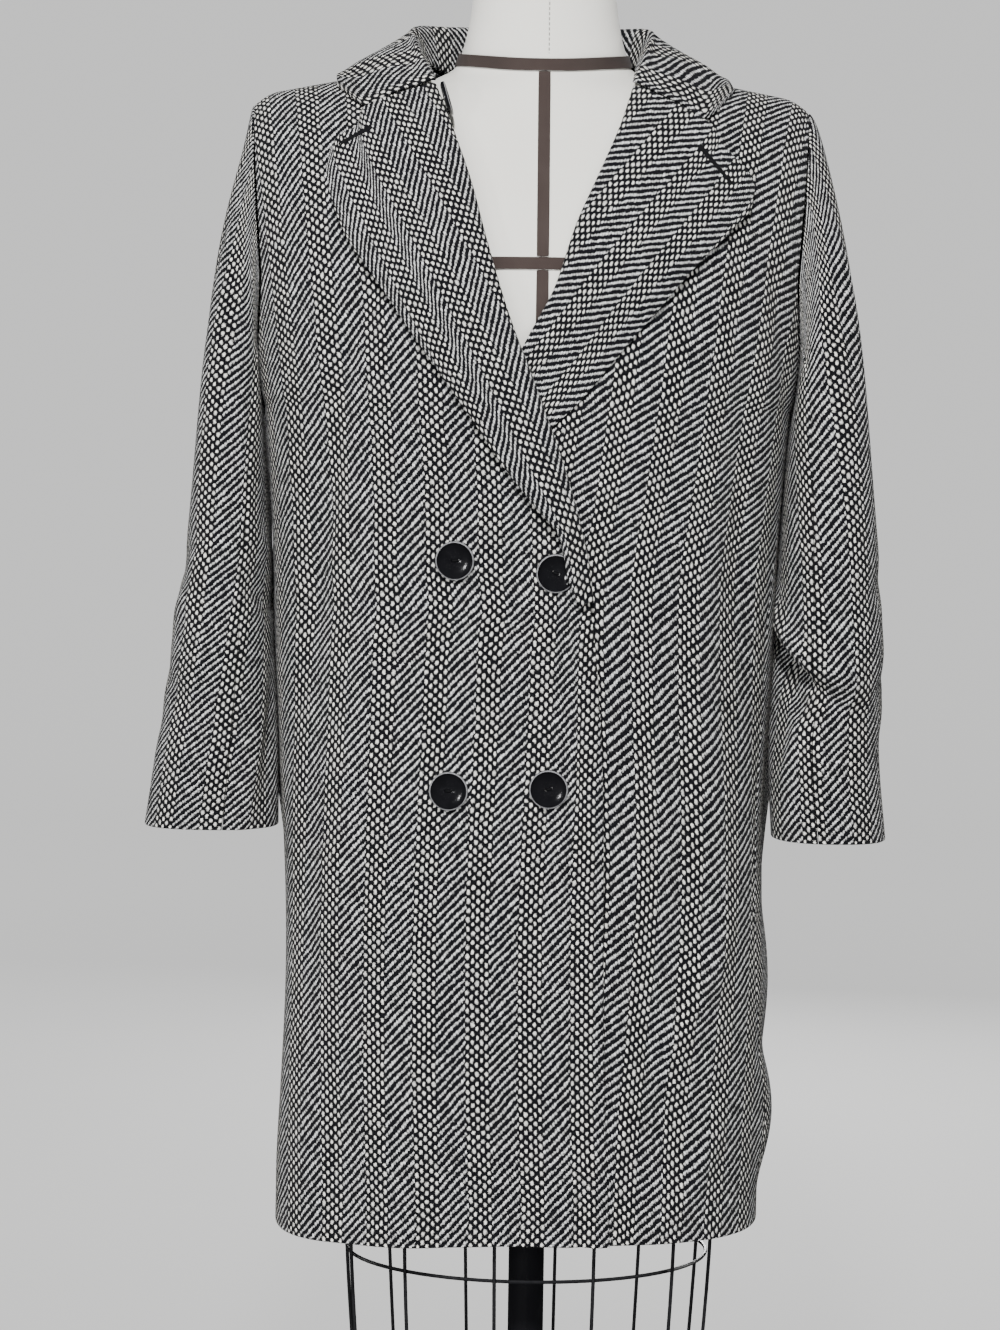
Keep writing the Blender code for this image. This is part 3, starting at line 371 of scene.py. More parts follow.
def column(table, name, at):
    """Values of a named column on a smooth curve through the rows of a table."""
    names, rows = table
    keys = np.array([row[0] for row in rows])
    values = np.array([row[names.index(name)] for row in rows])
    last = len(keys) - 1
    after, before = np.minimum(np.arange(last + 1) + 1, last), np.maximum(np.arange(last + 1) - 1, 0)
    slope = (values[after] - values[before]) / (keys[after] - keys[before])
    at = np.clip(at, keys[0], keys[-1])
    k = np.clip(np.searchsorted(keys, at, side="right") - 1, 0, last - 1)
    span = keys[k + 1] - keys[k]
    t = (at - keys[k]) / span
    return ((1 + 2 * t) * (1 - t) ** 2 * values[k] + t * (1 - t) ** 2 * span * slope[k]
            + t * t * (3 - 2 * t) * values[k + 1] - t * t * (1 - t) * span * slope[k + 1])


def off_turn(angle, middle):
    """Degrees from a middle, between -180 and 180."""
    return (angle - middle + 180.0) % 360.0 - 180.0


def ease(value, start, end):
    """Smooth step from 0 at start to 1 at end."""
    t = np.clip((value - start) / (end - start), 0.0, 1.0)
    return t * t * (3 - 2 * t)


def reach(turn, half, front, back, power):
    """Offsets of a superellipse, turned from the front towards +X."""
    s, c = np.sin(turn), np.cos(turn)
    r = ((np.abs(s) / half) ** power + (np.abs(c) / np.where(c > 0, front, back)) ** power) ** (-1 / power)
    return r * s, -r * c


def seam_top(dx):
    """Height of the shoulder seam, or of the back neckline between the neck points."""
    off = np.abs(dx)
    end = np.maximum(off - SHOULDER_END, 0.0) / SHOULDER_ROUND
    slope = NECK_Z - SHOULDER_SLOPE * (off - NECK_HALF) - SHOULDER_DROP * end ** 2
    return np.where(off >= NECK_HALF, slope, NECK_Z - NAPE_DROP * (1 - (off / NECK_HALF) ** 2))


def nape(dx):
    """How far back the neckline runs."""
    return NAPE_Y * np.maximum(1 - (np.abs(dx) / NECK_HALF) ** 2, 0.0) ** 0.8


def shoulder_half(rise):
    """Half width of the ring that carries the panels above the armpit."""
    return column(BODY, "half", ARMPIT_Z) + SHOULDER_GROW * np.maximum(rise, 0.0) ** 0.7


def body(angle, level):
    """Outer face of the body: level 0 hem, 1 armpit, 2 shoulder seam."""
    angle, level = np.broadcast_arrays(np.asarray(angle, float), np.asarray(level, float))
    arc = np.radians(90.0 * np.maximum(level - 1.0, 0.0))
    rise = np.sin(arc)
    z_low = HEM_Z + (ARMPIT_Z - HEM_Z) * np.minimum(level, 1.0)
    half, front, back, power = (column(BODY, name, z_low) for name in BODY[0][1:])
    half = half + SHOULDER_GROW * rise ** 0.7
    z_ring = np.where(level <= 1.0, z_low, ARMPIT_Z + (NECK_Z - ARMPIT_Z) * rise)
    push = 0.0
    for row in BODY_FOLDS[1]:
        fold = dict(zip(BODY_FOLDS[0], row))
        away = off_turn(angle, fold["angle"])
        middle, length = (fold["low"] + fold["high"]) / 2, (fold["high"] - fold["low"]) / 2
        along_it = np.maximum(0.0, 1 - ((z_ring - middle) / length) ** 2)
        push = push + fold["depth"] * np.exp(-(away / fold["spread"]) ** 2) * along_it ** 1.5
    dx, y = reach(np.radians(angle), half + push, front + push, back + push, power)
    away = off_turn(angle, HEM_SAG_TURN)
    sag = HEM_SAG * np.exp(-(away / HEM_SAG_SPREAD) ** 2) * np.maximum(1 - level, 0.0) ** 3
    top = np.where(y > 0, nape(dx), 0.0) * (level > 1.0)
    z = np.where(level <= 1.0, z_low - sag, ARMPIT_Z + (seam_top(dx) - ARMPIT_Z) * rise)
    return np.stack((AXIS_X + dx, top + (y - top) * np.cos(arc), z), axis=-1)


def armhole(level, face):
    """Turn of the armhole edge, counted from the middle of the front or of the back."""
    share = 1 - ARMHOLE_CUT * ease(level, 1.0, 1.0 + ARMHOLE_RISE)
    half = shoulder_half(np.sin(np.radians(90.0 * (level - 1.0))))
    power = column(BODY, "power", ARMPIT_Z)
    y = column(BODY, face, ARMPIT_Z) * (1 - share ** power) ** (1 / power)
    return np.degrees(np.arctan2(half * share, y))


def side_turn(side, level):
    """Turn of the side seam at a level, held at the armpit's above it."""
    return column(SIDE_SEAM, side, HEM_Z + (ARMPIT_Z - HEM_Z) * np.minimum(level, 1.0))


def spread(count, length, edge=0.0016):
    """Shares along a line of a given length, closer together where its two ends turn over."""
    close = np.array((0.0, 0.1, 0.35, 0.7, 1.1, 1.8)) * edge / length
    inner = np.linspace(3.2 * edge / length, 1 - 3.2 * edge / length, count)
    return np.concatenate((close, inner, 1 - close[::-1]))


def grid_normals(grid):
    """Unit normals of a grid of points."""
    n = np.cross(np.gradient(grid, axis=1), np.gradient(grid, axis=0))
    return n / np.maximum(np.linalg.norm(n, axis=2, keepdims=True), 1e-12)


def summed(steps, axis=0):
    """Steps added up from a first 0."""
    return np.insert(np.cumsum(steps, axis=axis), 0, 0.0, axis=axis)


def run(grid, axis):
    """Length of the cloth from the first row or column, at every point."""
    return summed(np.linalg.norm(np.diff(grid, axis=axis), axis=2), axis)


def creased(grid, cut, creases, out):
    """The grid with soft ridges and hollows: place on the cut, heading, half length, half width, height."""
    names, rows = creases
    lift = np.zeros(grid.shape[:2])
    for row in rows:
        ridge = dict(zip(names, row))
        du, dv = cut[..., 0] - ridge["u"], cut[..., 1] - ridge["v"]
        heading = math.radians(ridge["heading"])
        along_it = du * math.sin(heading) + dv * math.cos(heading)
        over = du * math.cos(heading) - dv * math.sin(heading)
        lift += ridge["height"] * np.exp(-(along_it / ridge["length"]) ** 2 - (over / ridge["width"]) ** 2)
    return grid + out * lift[..., None]


def cloth(name, node, grid, cut, turned, thick, creases, inside, weave=None):
    """A shell of cloth on a grid of points, facing away from a point inside. turned gives how far each edge
    rolls in: first row, last row, first column, last column. An edge as round as half the wall is a fold,
    a smaller one is a seam. weave takes the place of cut where the threads lie otherwise."""
    out = grid_normals(grid)
    if np.sum(out * (grid - np.array(inside))) < 0:
        out = -out
    if creases:
        grid = creased(grid, cut, creases, out)
        fresh = grid_normals(grid)
        out = fresh if np.sum(fresh * out) > 0 else -fresh
    rows, cols = grid.shape[:2]
    down, over = run(grid, 0), run(grid, 1)
    sink, rise = np.zeros((rows, cols)), np.zeros((rows, cols))
    for gap, radius in zip((down, down[-1:] - down, over, over[:, -1:] - over), turned):
        if radius > 0:
            near = np.clip(1 - gap / radius, 0.0, 1.0)
            depth = radius * (1 - np.sqrt(np.maximum(1 - near ** 2, 0.0))) * 0.94
            sink = np.maximum(sink, depth)
            if radius > thick * 0.45:
                rise = np.maximum(rise, depth)
    outer = grid - out * sink[..., None]
    inner = grid - out * (thick - rise)[..., None]
    count = rows * cols
    at = np.arange(count).reshape(rows, cols)
    quads = np.stack((at[:-1, :-1], at[:-1, 1:], at[1:, 1:], at[1:, :-1]), axis=-1).reshape(-1, 4)
    rim = np.concatenate((at[0, :], at[1:, -1], at[-1, -2::-1], at[-2:0:-1, 0]))
    ahead = np.roll(rim, -1)
    edges = np.stack((rim, rim + count, ahead + count, ahead), axis=-1)
    faces = np.concatenate((quads, quads[:, ::-1] + count, edges))
    points = np.concatenate((outer.reshape(-1, 3), inner.reshape(-1, 3)))
    mesh = bpy.data.meshes.new(name)
    mesh.from_pydata(points.tolist(), [], faces.tolist())
    weave = (cut if weave is None else weave).reshape(-1, 2)
    both = np.concatenate((weave, weave))
    corners = np.zeros(len(mesh.loops), np.int32)
    mesh.loops.foreach_get("vertex_index", corners)
    mesh.uv_layers.new(name="cut").data.foreach_set("uv", both[corners].astype(np.float32).ravel())
    work = bmesh.new()
    work.from_mesh(mesh)
    bmesh.ops.recalc_face_normals(work, faces=work.faces)
    if work.calc_volume(signed=True) < 0:
        bmesh.ops.reverse_faces(work, faces=work.faces)
    work.to_mesh(mesh)
    work.free()
    mesh.polygons.foreach_set("use_smooth", np.ones(len(mesh.polygons), bool))
    mesh.materials.append(tweed.material)
    piece = bpy.data.objects.new(name, mesh)
    bpy.context.scene.collection.objects.link(piece)
    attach(piece, "root")
    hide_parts(node)


WALL, FOLD_EDGE, SEAM_EDGE = 0.0030, 0.0015, 0.0011
levels = np.concatenate((np.array((0.0, 0.0003, 0.0009, 0.0016, 0.0026, 0.004)), np.linspace(0.007, 1.0, 130),
                         np.linspace(1.008, 1.92, 84), np.linspace(1.926, 1.996, 14), (1.998, 2.0)))
back_low = side_turn("left", levels), 360.0 + side_turn("right", levels)
back_high = 180.0 - armhole(levels, "back"), 180.0 + armhole(levels, "back")
start = np.where(levels > 1.0, back_high[0], back_low[0]) + SEAM_DEGREES
end = np.where(levels > 1.0, back_high[1], back_low[1]) - SEAM_DEGREES
shares = spread(120, 0.44)
panel = body(start[:, None] + (end - start)[:, None] * shares[None], levels[:, None])
panel[..., 1] = np.where(levels[:, None] > 1.9, np.maximum(panel[..., 1], SEAM / 2), panel[..., 1])
over = run(panel, 1)
cut = np.stack((over - over[:, [over.shape[1] // 2]], run(panel, 0)), axis=-1)
CREASE = ("u", "v", "heading", "length", "width", "height")
BACK_CREASES = (CREASE, (
    (0.105, 0.62, 8.0, 0.16, 0.016, -0.003), (-0.110, 0.60, -10.0, 0.18, 0.018, -0.003),
    (0.020, 0.35, 4.0, 0.25, 0.022, 0.003), (-0.060, 0.22, -3.0, 0.20, 0.016, -0.002),
    (0.130, 0.30, 2.0, 0.22, 0.015, 0.003), (0.060, 0.80, 62.0, 0.07, 0.014, -0.002),
    (-0.070, 0.82, -60.0, 0.07, 0.014, -0.002)))
cloth("coat_back", "back", panel, cut, (FOLD_EDGE, SEAM_EDGE, SEAM_EDGE, SEAM_EDGE), WALL,
      BACK_CREASES, (AXIS_X, 0.0, 0.9))

# Fronts: two panels with grown-on facings. The right one laps over the left and buttons there, and
# above the break each turns back into its lapel. The front edges and the hem are turned under. The
# stripes wander a little from the straight, and the left front's threads hang aslant.
EDGE_LIFT, LAPEL_LIFT = 0.0040, 0.0048
RIM_RISE, RIM_DROP, RIM_GROOVE, RIM_SWELL = 0.0074, 0.0024, 0.0022, 0.0038
RIGHT_EDGE = (("z", "x"), (
    (0.473, 0.0670), (0.560, 0.0620), (0.700, 0.0580), (0.850, 0.0550), (0.960, 0.0475), (1.039, 0.0350),
    (1.100, 0.0190), (1.173, -0.0075), (1.234, -0.0313), (1.296, -0.0504), (1.341, -0.0628),
    (1.396, -0.0823), (1.4265, -0.0943), (1.4365, -0.0985), (1.447, -0.1020)))
LEFT_EDGE = (("z", "x"), (
    (0.473, -0.0980), (0.700, -0.0980), (0.960, -0.0960), (1.050, -0.0900), (1.120, -0.0570),
    (1.222, -0.0035), (1.255, 0.0137), (1.308, 0.0311), (1.347, 0.0480), (1.390, 0.0661),
    (1.4265, 0.0780), (1.4365, 0.0803), (1.447, 0.0820)))


def front_y(x, z):
    """Depth of the front under a point seen from the front."""
    dx = np.abs(np.asarray(x, float) - AXIS_X)
    half, front, power = (column(BODY, name, z) for name in ("half", "front", "power"))
    rise = np.clip((z - ARMPIT_Z) / (seam_top(np.maximum(dx, NECK_HALF)) - ARMPIT_Z), 0.0, 0.9999)
    half = half + SHOULDER_GROW * rise ** 0.7
    return -front * np.maximum(1e-6, 1 - (dx / half) ** power) ** (1 / power) * np.cos(np.arcsin(rise))


def lap(x, z):
    """How far the right front stands off, to lie over the left front and its lapel."""
    under = EDGE_LIFT * ease(x, -0.170, -0.105)
    roll = LAPEL_LIFT * ease(x, -0.110, -0.050) * ease(z, 0.98, 1.10) * (1 - ease(z, 1.22, 1.33))
    from_rim = x - column(RIGHT_EDGE, "x", z)
    rim = (RIM_RISE * ease(from_rim, -0.0225, -0.0140) - RIM_DROP * ease(from_rim, -0.010, 0.0)
           - RIM_GROOVE * np.exp(-((from_rim + 0.0240) / 0.0045) ** 2)
           + RIM_SWELL * np.exp(-((from_rim + 0.036) / 0.009) ** 2))
    rim = rim * (0.4 + 0.6 * ease(z, 0.70, 0.92))
    return under * (1 - ease(z, 1.24, 1.36)) + roll + rim * (1 - ease(z, 0.99, 1.05))


def edge_turn(table, level):
    """Turn at which a row meets the front edge or the roll line."""
    rise = np.sin(np.radians(90.0 * np.maximum(level - 1.0, 0.0)))
    z = HEM_Z + (ARMPIT_Z - HEM_Z) * np.minimum(level, 1.0)
    for _ in range(24):
        x = column(table, "x", z)
        top = ARMPIT_Z + (seam_top(np.maximum(np.abs(x - AXIS_X), NECK_HALF)) - ARMPIT_Z) * rise
        z = np.where(level > 1.0, top, z)
    half, front, power = (column(BODY, name, z) for name in ("half", "front", "power"))
    half = half + SHOULDER_GROW * rise ** 0.7
    y = front * (1 - (np.abs(x - AXIS_X) / half) ** power) ** (1 / power)
    return np.degrees(np.arctan2(x - AXIS_X, y))


def front_panel(start, end, lift):
    """Points of a front from its side to its edge, or from its edge to its side."""
    panel = body(start[:, None] + (end - start)[:, None] * spread(84, 0.30)[None], levels[:, None])
    panel[..., 1] -= lift(panel[..., 0], panel[..., 2])
    panel[..., 1] = np.where(levels[:, None] > 1.9, np.minimum(panel[..., 1], -SEAM / 2), panel[..., 1])
    return panel


RIGHT_DRIFT = (("up", "u"), (
    (0.03, 0.0310), (0.15, 0.0355), (0.35, 0.0370), (0.49, 0.0340), (0.56, 0.0290), (0.65, 0.0325),
    (1.00, 0.0625)))
LEFT_DRIFT = (("up", "u"), (
    (0.00, -0.0505), (0.10, -0.0540), (0.24, -0.0650), (0.32, -0.0665), (0.54, -0.0575), (0.62, -0.0685),
    (1.00, -0.1175)))
LEFT_FINE, LEFT_SLACK, LEFT_PULL = 1.07, 0.92, 0.34
side = np.where(levels > 1.0, -armhole(levels, "front"), side_turn("right", levels)) + SEAM_DEGREES
panel = front_panel(side, edge_turn(RIGHT_EDGE, levels), lap)
over, up = run(panel, 1), run(panel, 0)
from_edge = panel[:, -1:, 0] - (over[:, -1:] - over)
cut = np.stack((from_edge + column(RIGHT_DRIFT, "u", up), up), axis=-1)
RIGHT_CREASES = (CREASE, (
    (-0.150, 0.62, 12.0, 0.16, 0.014, -0.0042), (-0.110, 0.48, 8.0, 0.20, 0.020, 0.0034),
    (-0.165, 0.36, -2.0, 0.22, 0.016, -0.0032), (-0.060, 0.10, 3.0, 0.14, 0.022, 0.0042),
    (-0.130, 0.07, -4.0, 0.10, 0.020, -0.0040), (0.015, 0.06, 2.0, 0.10, 0.018, -0.0026),
    (-0.100, 0.78, 28.0, 0.09, 0.012, -0.0032), (0.020, 0.43, 55.0, 0.05, 0.012, -0.0012)))
cloth("coat_front_right", "front_right", panel, cut, (FOLD_EDGE, SEAM_EDGE, SEAM_EDGE, FOLD_EDGE), WALL,
      RIGHT_CREASES, (AXIS_X, 0.0, 0.9))

side = np.where(levels > 1.0, armhole(levels, "front"), side_turn("left", levels)) - SEAM_DEGREES
panel = front_panel(edge_turn(LEFT_EDGE, levels), side, lambda x, z: 0.0)
over, up = run(panel, 1), run(panel, 0)
from_edge = panel[:, :1, 0] + over
cut = np.stack((from_edge * LEFT_FINE + column(LEFT_DRIFT, "u", up), up), axis=-1)
weave = np.stack((cut[..., 0], LEFT_SLACK * (up + LEFT_PULL * from_edge)), axis=-1)
LEFT_CREASES = (CREASE, (
    (0.120, 0.62, -9.0, 0.15, 0.013, -0.0044), (0.095, 0.40, -4.0, 0.22, 0.018, 0.0034),
    (0.090, 0.21, 24.0, 0.06, 0.014, 0.0056), (0.060, 0.13, -20.0, 0.07, 0.014, -0.0050),
    (0.100, 0.06, 30.0, 0.05, 0.013, 0.0050), (0.065, 0.32, 2.0, 0.18, 0.012, -0.0028),
    (0.140, 0.78, -25.0, 0.08, 0.012, -0.0034)))
cloth("coat_front_left", "front_left", panel, cut, (FOLD_EDGE, SEAM_EDGE, FOLD_EDGE, SEAM_EDGE), WALL,
      LEFT_CREASES, (AXIS_X, 0.0, 0.9), weave)

# Sleeves: each of two pieces, top and under, set into a padded armhole and seamed at the front and the
# back of the arm. The left one breaks in a deep fold at the elbow. The cuffs are plain and turned under.
SLEEVE_JOIN_Z, ARM_GAP, BODY_CLEAR = 1.040, 0.0009, 0.0015
SLEEVE_RIGHT = (("z", "outer", "inner", "front", "back", "power"), (
    (0.802, 0.3235, 0.2085, 0.052, 0.038, 2.3), (0.870, 0.3140, 0.2092, 0.062, 0.048, 2.3),
    (0.950, 0.3010, 0.2128, 0.074, 0.062, 2.4), (1.040, 0.2880, 0.2166, 0.079, 0.074, 2.5)))
SLEEVE_LEFT = (("z", "outer", "inner", "front", "back", "power"), (
    (0.797, 0.3125, 0.2150, 0.052, 0.038, 2.3), (0.875, 0.3050, 0.2105, 0.062, 0.048, 2.3),
    (0.950, 0.3070, 0.2126, 0.076, 0.062, 2.4), (1.040, 0.3000, 0.2166, 0.080, 0.074, 2.5)))
FOLDS_RIGHT = (("turn", "z", "slant", "reach", "width", "depth"), (
    (60.0, 1.010, -0.0004, 45.0, 0.014, 0.004), (40.0, 0.900, 0.0004, 50.0, 0.016, 0.004),
    (250.0, 0.980, 0.0003, 50.0, 0.016, 0.005)))
FOLDS_LEFT = (("turn", "z", "slant", "reach", "width", "depth"), (
    (130.0, 0.925, 0.0009, 42.0, 0.020, 0.013), (20.0, 0.905, 0.0002, 40.0, 0.018, 0.004),
    (240.0, 0.960, -0.0003, 50.0, 0.016, 0.005)))
ARMHOLE_LEVELS = (("turn", "level"), (
    (0.0, 2.0), (45.0, 1.70), (75.0, 1.42), (100.0, 1.17), (120.0, 1.095), (150.0, 1.04), (180.0, 1.0)))
SLEEVE_WALL, SLEEVE_SEAM, CUFF_EDGE = 0.0026, 0.32, 0.0013


def tube(table, folds, sign, turn, z):
    """Points of the hanging sleeve at a height."""
    outer, inner, front, back, power = (column(table, name, z) for name in table[0][1:])
    dent = 0.0
    for row in folds[1]:
        fold = dict(zip(folds[0], row))
        away = off_turn(turn, fold["turn"])
        down = z - fold["z"] - fold["slant"] * away
        dent = dent + fold["depth"] * np.exp(-(away / fold["reach"]) ** 2 - (down / fold["width"]) ** 2)
    off, y = reach(np.radians(90.0 - turn), (outer - inner) / 2 - dent * 0.4,
                   front - dent, back - dent, power)
    return np.stack((AXIS_X + sign * ((outer + inner) / 2 + off), y, z + 0.0 * y), axis=-1)


def body_side(y, z):
    """Half width of the body at a depth and height, where a sleeve lies against it."""
    half, front, back, power = (column(BODY, name, z) for name in BODY[0][1:])
    rise = np.clip((z - ARMPIT_Z) / (NECK_Z - ARMPIT_Z), 0.0, 0.99)
    half = half + SHOULDER_GROW * rise ** 0.7
    deep = np.where(y < 0, front, back) * np.cos(np.arcsin(rise))
    return half * np.maximum(1e-6, 1 - np.minimum(np.abs(y) / deep, 1.0) ** power) ** (1 / power)


def sleeve_point(sign, table, folds, head, turn, step):
    """Points of a sleeve by turn and step: 0 at the armhole, 1 where it hangs free, 2 at the cuff."""
    turn = turn % 360.0
    half_turn = np.minimum(turn, 360.0 - turn)
    level = column(ARMHOLE_LEVELS, "level", half_turn)
    angle = np.where(turn <= 180.0, armhole(level, "front"), 180.0 - armhole(level, "back"))
    start = body(sign * angle, level) + np.array((sign * ARM_GAP, 0.0, 0.0))
    cuff_z = table[1][0][0]
    low_z = SLEEVE_JOIN_Z + (cuff_z - SLEEVE_JOIN_Z) * np.maximum(step - 1.0, 0.0)
    low = tube(table, folds, sign, turn, low_z)
    end = tube(table, folds, sign, turn, np.full_like(turn, SLEEVE_JOIN_Z))
    lean = (end - tube(table, folds, sign, turn, np.full_like(turn, SLEEVE_JOIN_Z - 0.04))) / 0.04
    bend = end + lean * (start[..., 2:] - 0.012 - end[..., 2:])
    bend[..., 0] += sign * head * np.maximum(np.cos(np.radians(turn)), 0.0)
    bend[..., 1] += (start[..., 1] - bend[..., 1]) * 0.55
    t = np.minimum(step, 1.0)[..., None]
    p = start * (1 - t) ** 2 + bend * 2 * t * (1 - t) + end * t ** 2
    clear = body_side(p[..., 1], p[..., 2]) + ARM_GAP + BODY_CLEAR * ease(step, 0.0, 0.3)
    tight = (turn > 95.0) & (turn < 265.0) & (sign * (p[..., 0] - AXIS_X) < clear) & (step > 0.0)
    p[..., 0] = np.where(tight, AXIS_X + sign * clear, p[..., 0])
    return np.where((step >= 1.0)[..., None], low, p)


RIGHT_TOP_CREASES = (CREASE, (
    (0.040, 0.235, 66.0, 0.050, 0.011, -0.0026), (0.050, 0.195, 60.0, 0.050, 0.012, 0.0024),
    (0.045, 0.120, -62.0, 0.045, 0.012, -0.0024), (-0.060, 0.240, -60.0, 0.045, 0.012, -0.0030),
    (-0.055, 0.190, 65.0, 0.045, 0.012, 0.0026), (0.030, 0.430, 8.0, 0.090, 0.014, 0.0024),
    (0.065, 0.470, 16.0, 0.080, 0.011, -0.0026), (0.000, 0.060, 4.0, 0.060, 0.016, -0.0020)))
RIGHT_UNDER_CREASES = (CREASE, (
    (-0.038, 0.060, 6.0, 0.055, 0.008, 0.0030), (-0.018, 0.065, 6.0, 0.060, 0.012, -0.0040),
    (-0.040, 0.200, -65.0, 0.040, 0.010, -0.0030), (-0.030, 0.240, -62.0, 0.040, 0.010, 0.0024),
    (0.040, 0.200, 70.0, 0.040, 0.011, -0.0030)))
LEFT_TOP_CREASES = (CREASE, (
    (-0.072, 0.150, 124.0, 0.036, 0.011, 0.0065), (-0.078, 0.128, 124.0, 0.032, 0.010, -0.0090),
    (-0.078, 0.080, 2.0, 0.045, 0.007, -0.0035), (-0.064, 0.075, 2.0, 0.045, 0.009, 0.0024),
    (-0.020, 0.215, 72.0, 0.055, 0.014, -0.0024), (0.020, 0.150, 60.0, 0.045, 0.012, -0.0030),
    (0.020, 0.110, 70.0, 0.045, 0.012, 0.0026), (-0.045, 0.440, -10.0, 0.100, 0.014, 0.0026),
    (-0.080, 0.470, -14.0, 0.080, 0.011, -0.0030), (0.060, 0.210, 65.0, 0.050, 0.013, -0.0028)))
LEFT_UNDER_CREASES = (CREASE, (
    (0.056, 0.182, 122.0, 0.062, 0.011, 0.0080), (0.054, 0.160, 122.0, 0.060, 0.011, -0.0140),
    (0.056, 0.110, 0.0, 0.045, 0.032, -0.0090), (0.070, 0.085, 20.0, 0.035, 0.008, 0.0040),
    (-0.030, 0.180, -60.0, 0.045, 0.011, -0.0032), (-0.020, 0.215, -60.0, 0.045, 0.011, 0.0026)))
steps = np.concatenate((np.array((0.0, 0.003, 0.008, 0.016, 0.03)), np.linspace(0.05, 1.0, 60),
                        np.linspace(1.016, 1.976, 62), (1.985, 1.991, 1.995, 1.998, 2.0)))
SLEEVE_HALVES = {"top": (255.0, 465.0, 360.0, 62, (0.27, 0.62), 0.12),
                 "under": (105.0, 255.0, 180.0, 44, (0.16, 0.43), 0.055)}
STRIPE_IN = 0.036
for name, sign, table, folds, head, creases, shift, fine in (
        ("right_top", -1, SLEEVE_RIGHT, FOLDS_RIGHT, 0.008, RIGHT_TOP_CREASES, -0.004, 1.08),
        ("right_under", -1, SLEEVE_RIGHT, FOLDS_RIGHT, 0.008, RIGHT_UNDER_CREASES, 0.012, 1.08),
        ("left_top", 1, SLEEVE_LEFT, FOLDS_LEFT, -0.012, LEFT_TOP_CREASES, 0.030, 1.0),
        ("left_under", 1, SLEEVE_LEFT, FOLDS_LEFT, -0.012, LEFT_UNDER_CREASES, 0.020, 1.0)):
    half = name.split("_")[1]
    first, last, middle_turn, columns, flat, area = SLEEVE_HALVES[half]
    turns = first + SLEEVE_SEAM + (last - first - 2 * SLEEVE_SEAM) * spread(columns, 0.19)
    turn, step = np.meshgrid(turns, steps)
    panel = sleeve_point(sign, table, folds, head, turn, step)
    over, down = run(panel, 1), run(panel, 0)
    middle = int(np.argmin(np.abs(turns - middle_turn)))
    cut = np.stack((-sign * (over - over[:, [middle]]) + shift, down[-1:] - down), axis=-1)
    grain = np.gradient(panel, axis=0)
    grain = grain / np.linalg.norm(grain, axis=2, keepdims=True)
    grain = (grain[:, 1:] + grain[:, :-1]) / 2
    strides = np.diff(panel, axis=1)
    strides = np.linalg.norm(strides - grain * np.sum(strides * grain, axis=2, keepdims=True), axis=2)
    over = summed(strides, 1)
    weave = np.stack((-sign * (over - over[:, [middle]]) + shift, cut[..., 1] * fine), axis=-1)
    if half == "top":
        inward = sign * (panel[:, [middle], 0] - panel[:, middle:, 0])
        lengths = over[:, middle:] - over[:, [middle]]
        lead = np.array([np.interp(STRIPE_IN, inside, length) for inside, length in zip(inward, lengths)])
        hangs = int(np.argmin(np.abs(steps - 1.0)))
        lead = np.where(np.arange(len(steps)) < hangs, lead[hangs], lead)
        weave[..., 0] += sign * (lead[:, None] - lead[hangs])
        seam_u = weave[:, -1:, 0]
    else:
        weave[..., 0] = seam_u - sign * over
    cloth(f"coat_sleeve_{name}", f"sleeve_{name}", panel, cut, (SEAM_EDGE, CUFF_EDGE, SEAM_EDGE, SEAM_EDGE),
          SLEEVE_WALL, creases,
          (AXIS_X + sign * 0.26, -0.005, 1.02), weave)

# Lapels: wide and notched, turned back from the fronts along a soft roll. Both faces are the same
# tweed, its stripes running along the roll, and each outer edge is bagged out and pressed.
LAPEL_WALL, LAPEL_FLAT, LAPEL_EDGE, FOOT_LIFT, NUB_MIDDLE = 0.0026, 0.0036, 0.0013, 0.0042, 0.0332
LAPEL_SECTION = (("at", "share", "flat", "over", "height"), (
    (0.00, 0.00, 0.0045, 0.0046, 0.0014), (0.05, 0.00, 0.0030, 0.0040, 0.0052),
    (0.10, 0.00, 0.0012, 0.0010, 0.0080), (0.20, 0.12, 0.0, 0.0, 0.0106),
    (0.34, 0.28, 0.0, 0.0, 0.0128), (0.50, 0.45, 0.0, 0.0, 0.0146),
    (0.68, 0.65, 0.0, 0.0, 0.0156), (0.86, 0.85, 0.0, 0.0, 0.0146), (0.94, 0.94, 0.0, 0.0, 0.0130),
    (1.00, 1.00, 0.0, 0.0, 0.0106)))
RIGHT_LAPEL = {
    "roll": ((0.0400, 1.004), (0.0350, 1.039), (0.0190, 1.100), (-0.0075, 1.173), (-0.0313, 1.234),
             (-0.0504, 1.296), (-0.0628, 1.341), (-0.0823, 1.396), (-0.0943, 1.4265)),
    "edge": ((0.0340, 0.9995), (0.0265, 1.012), (0.0222, 1.026), (0.0195, 1.040), (0.0150, 1.0568),
             (-0.0067, 1.0828), (-0.0306, 1.112), (-0.0555, 1.1485), (-0.0762, 1.177), (-0.1145, 1.2313),
             (-0.1376, 1.2642), (-0.1555, 1.2886), (-0.1695, 1.3179), (-0.1772, 1.347), (-0.1752, 1.3681)),
    "top": ((-0.0943, 1.4265), (-0.1477, 1.4050), (-0.1535, 1.3883), (-0.1685, 1.3790), (-0.1752, 1.3681))}
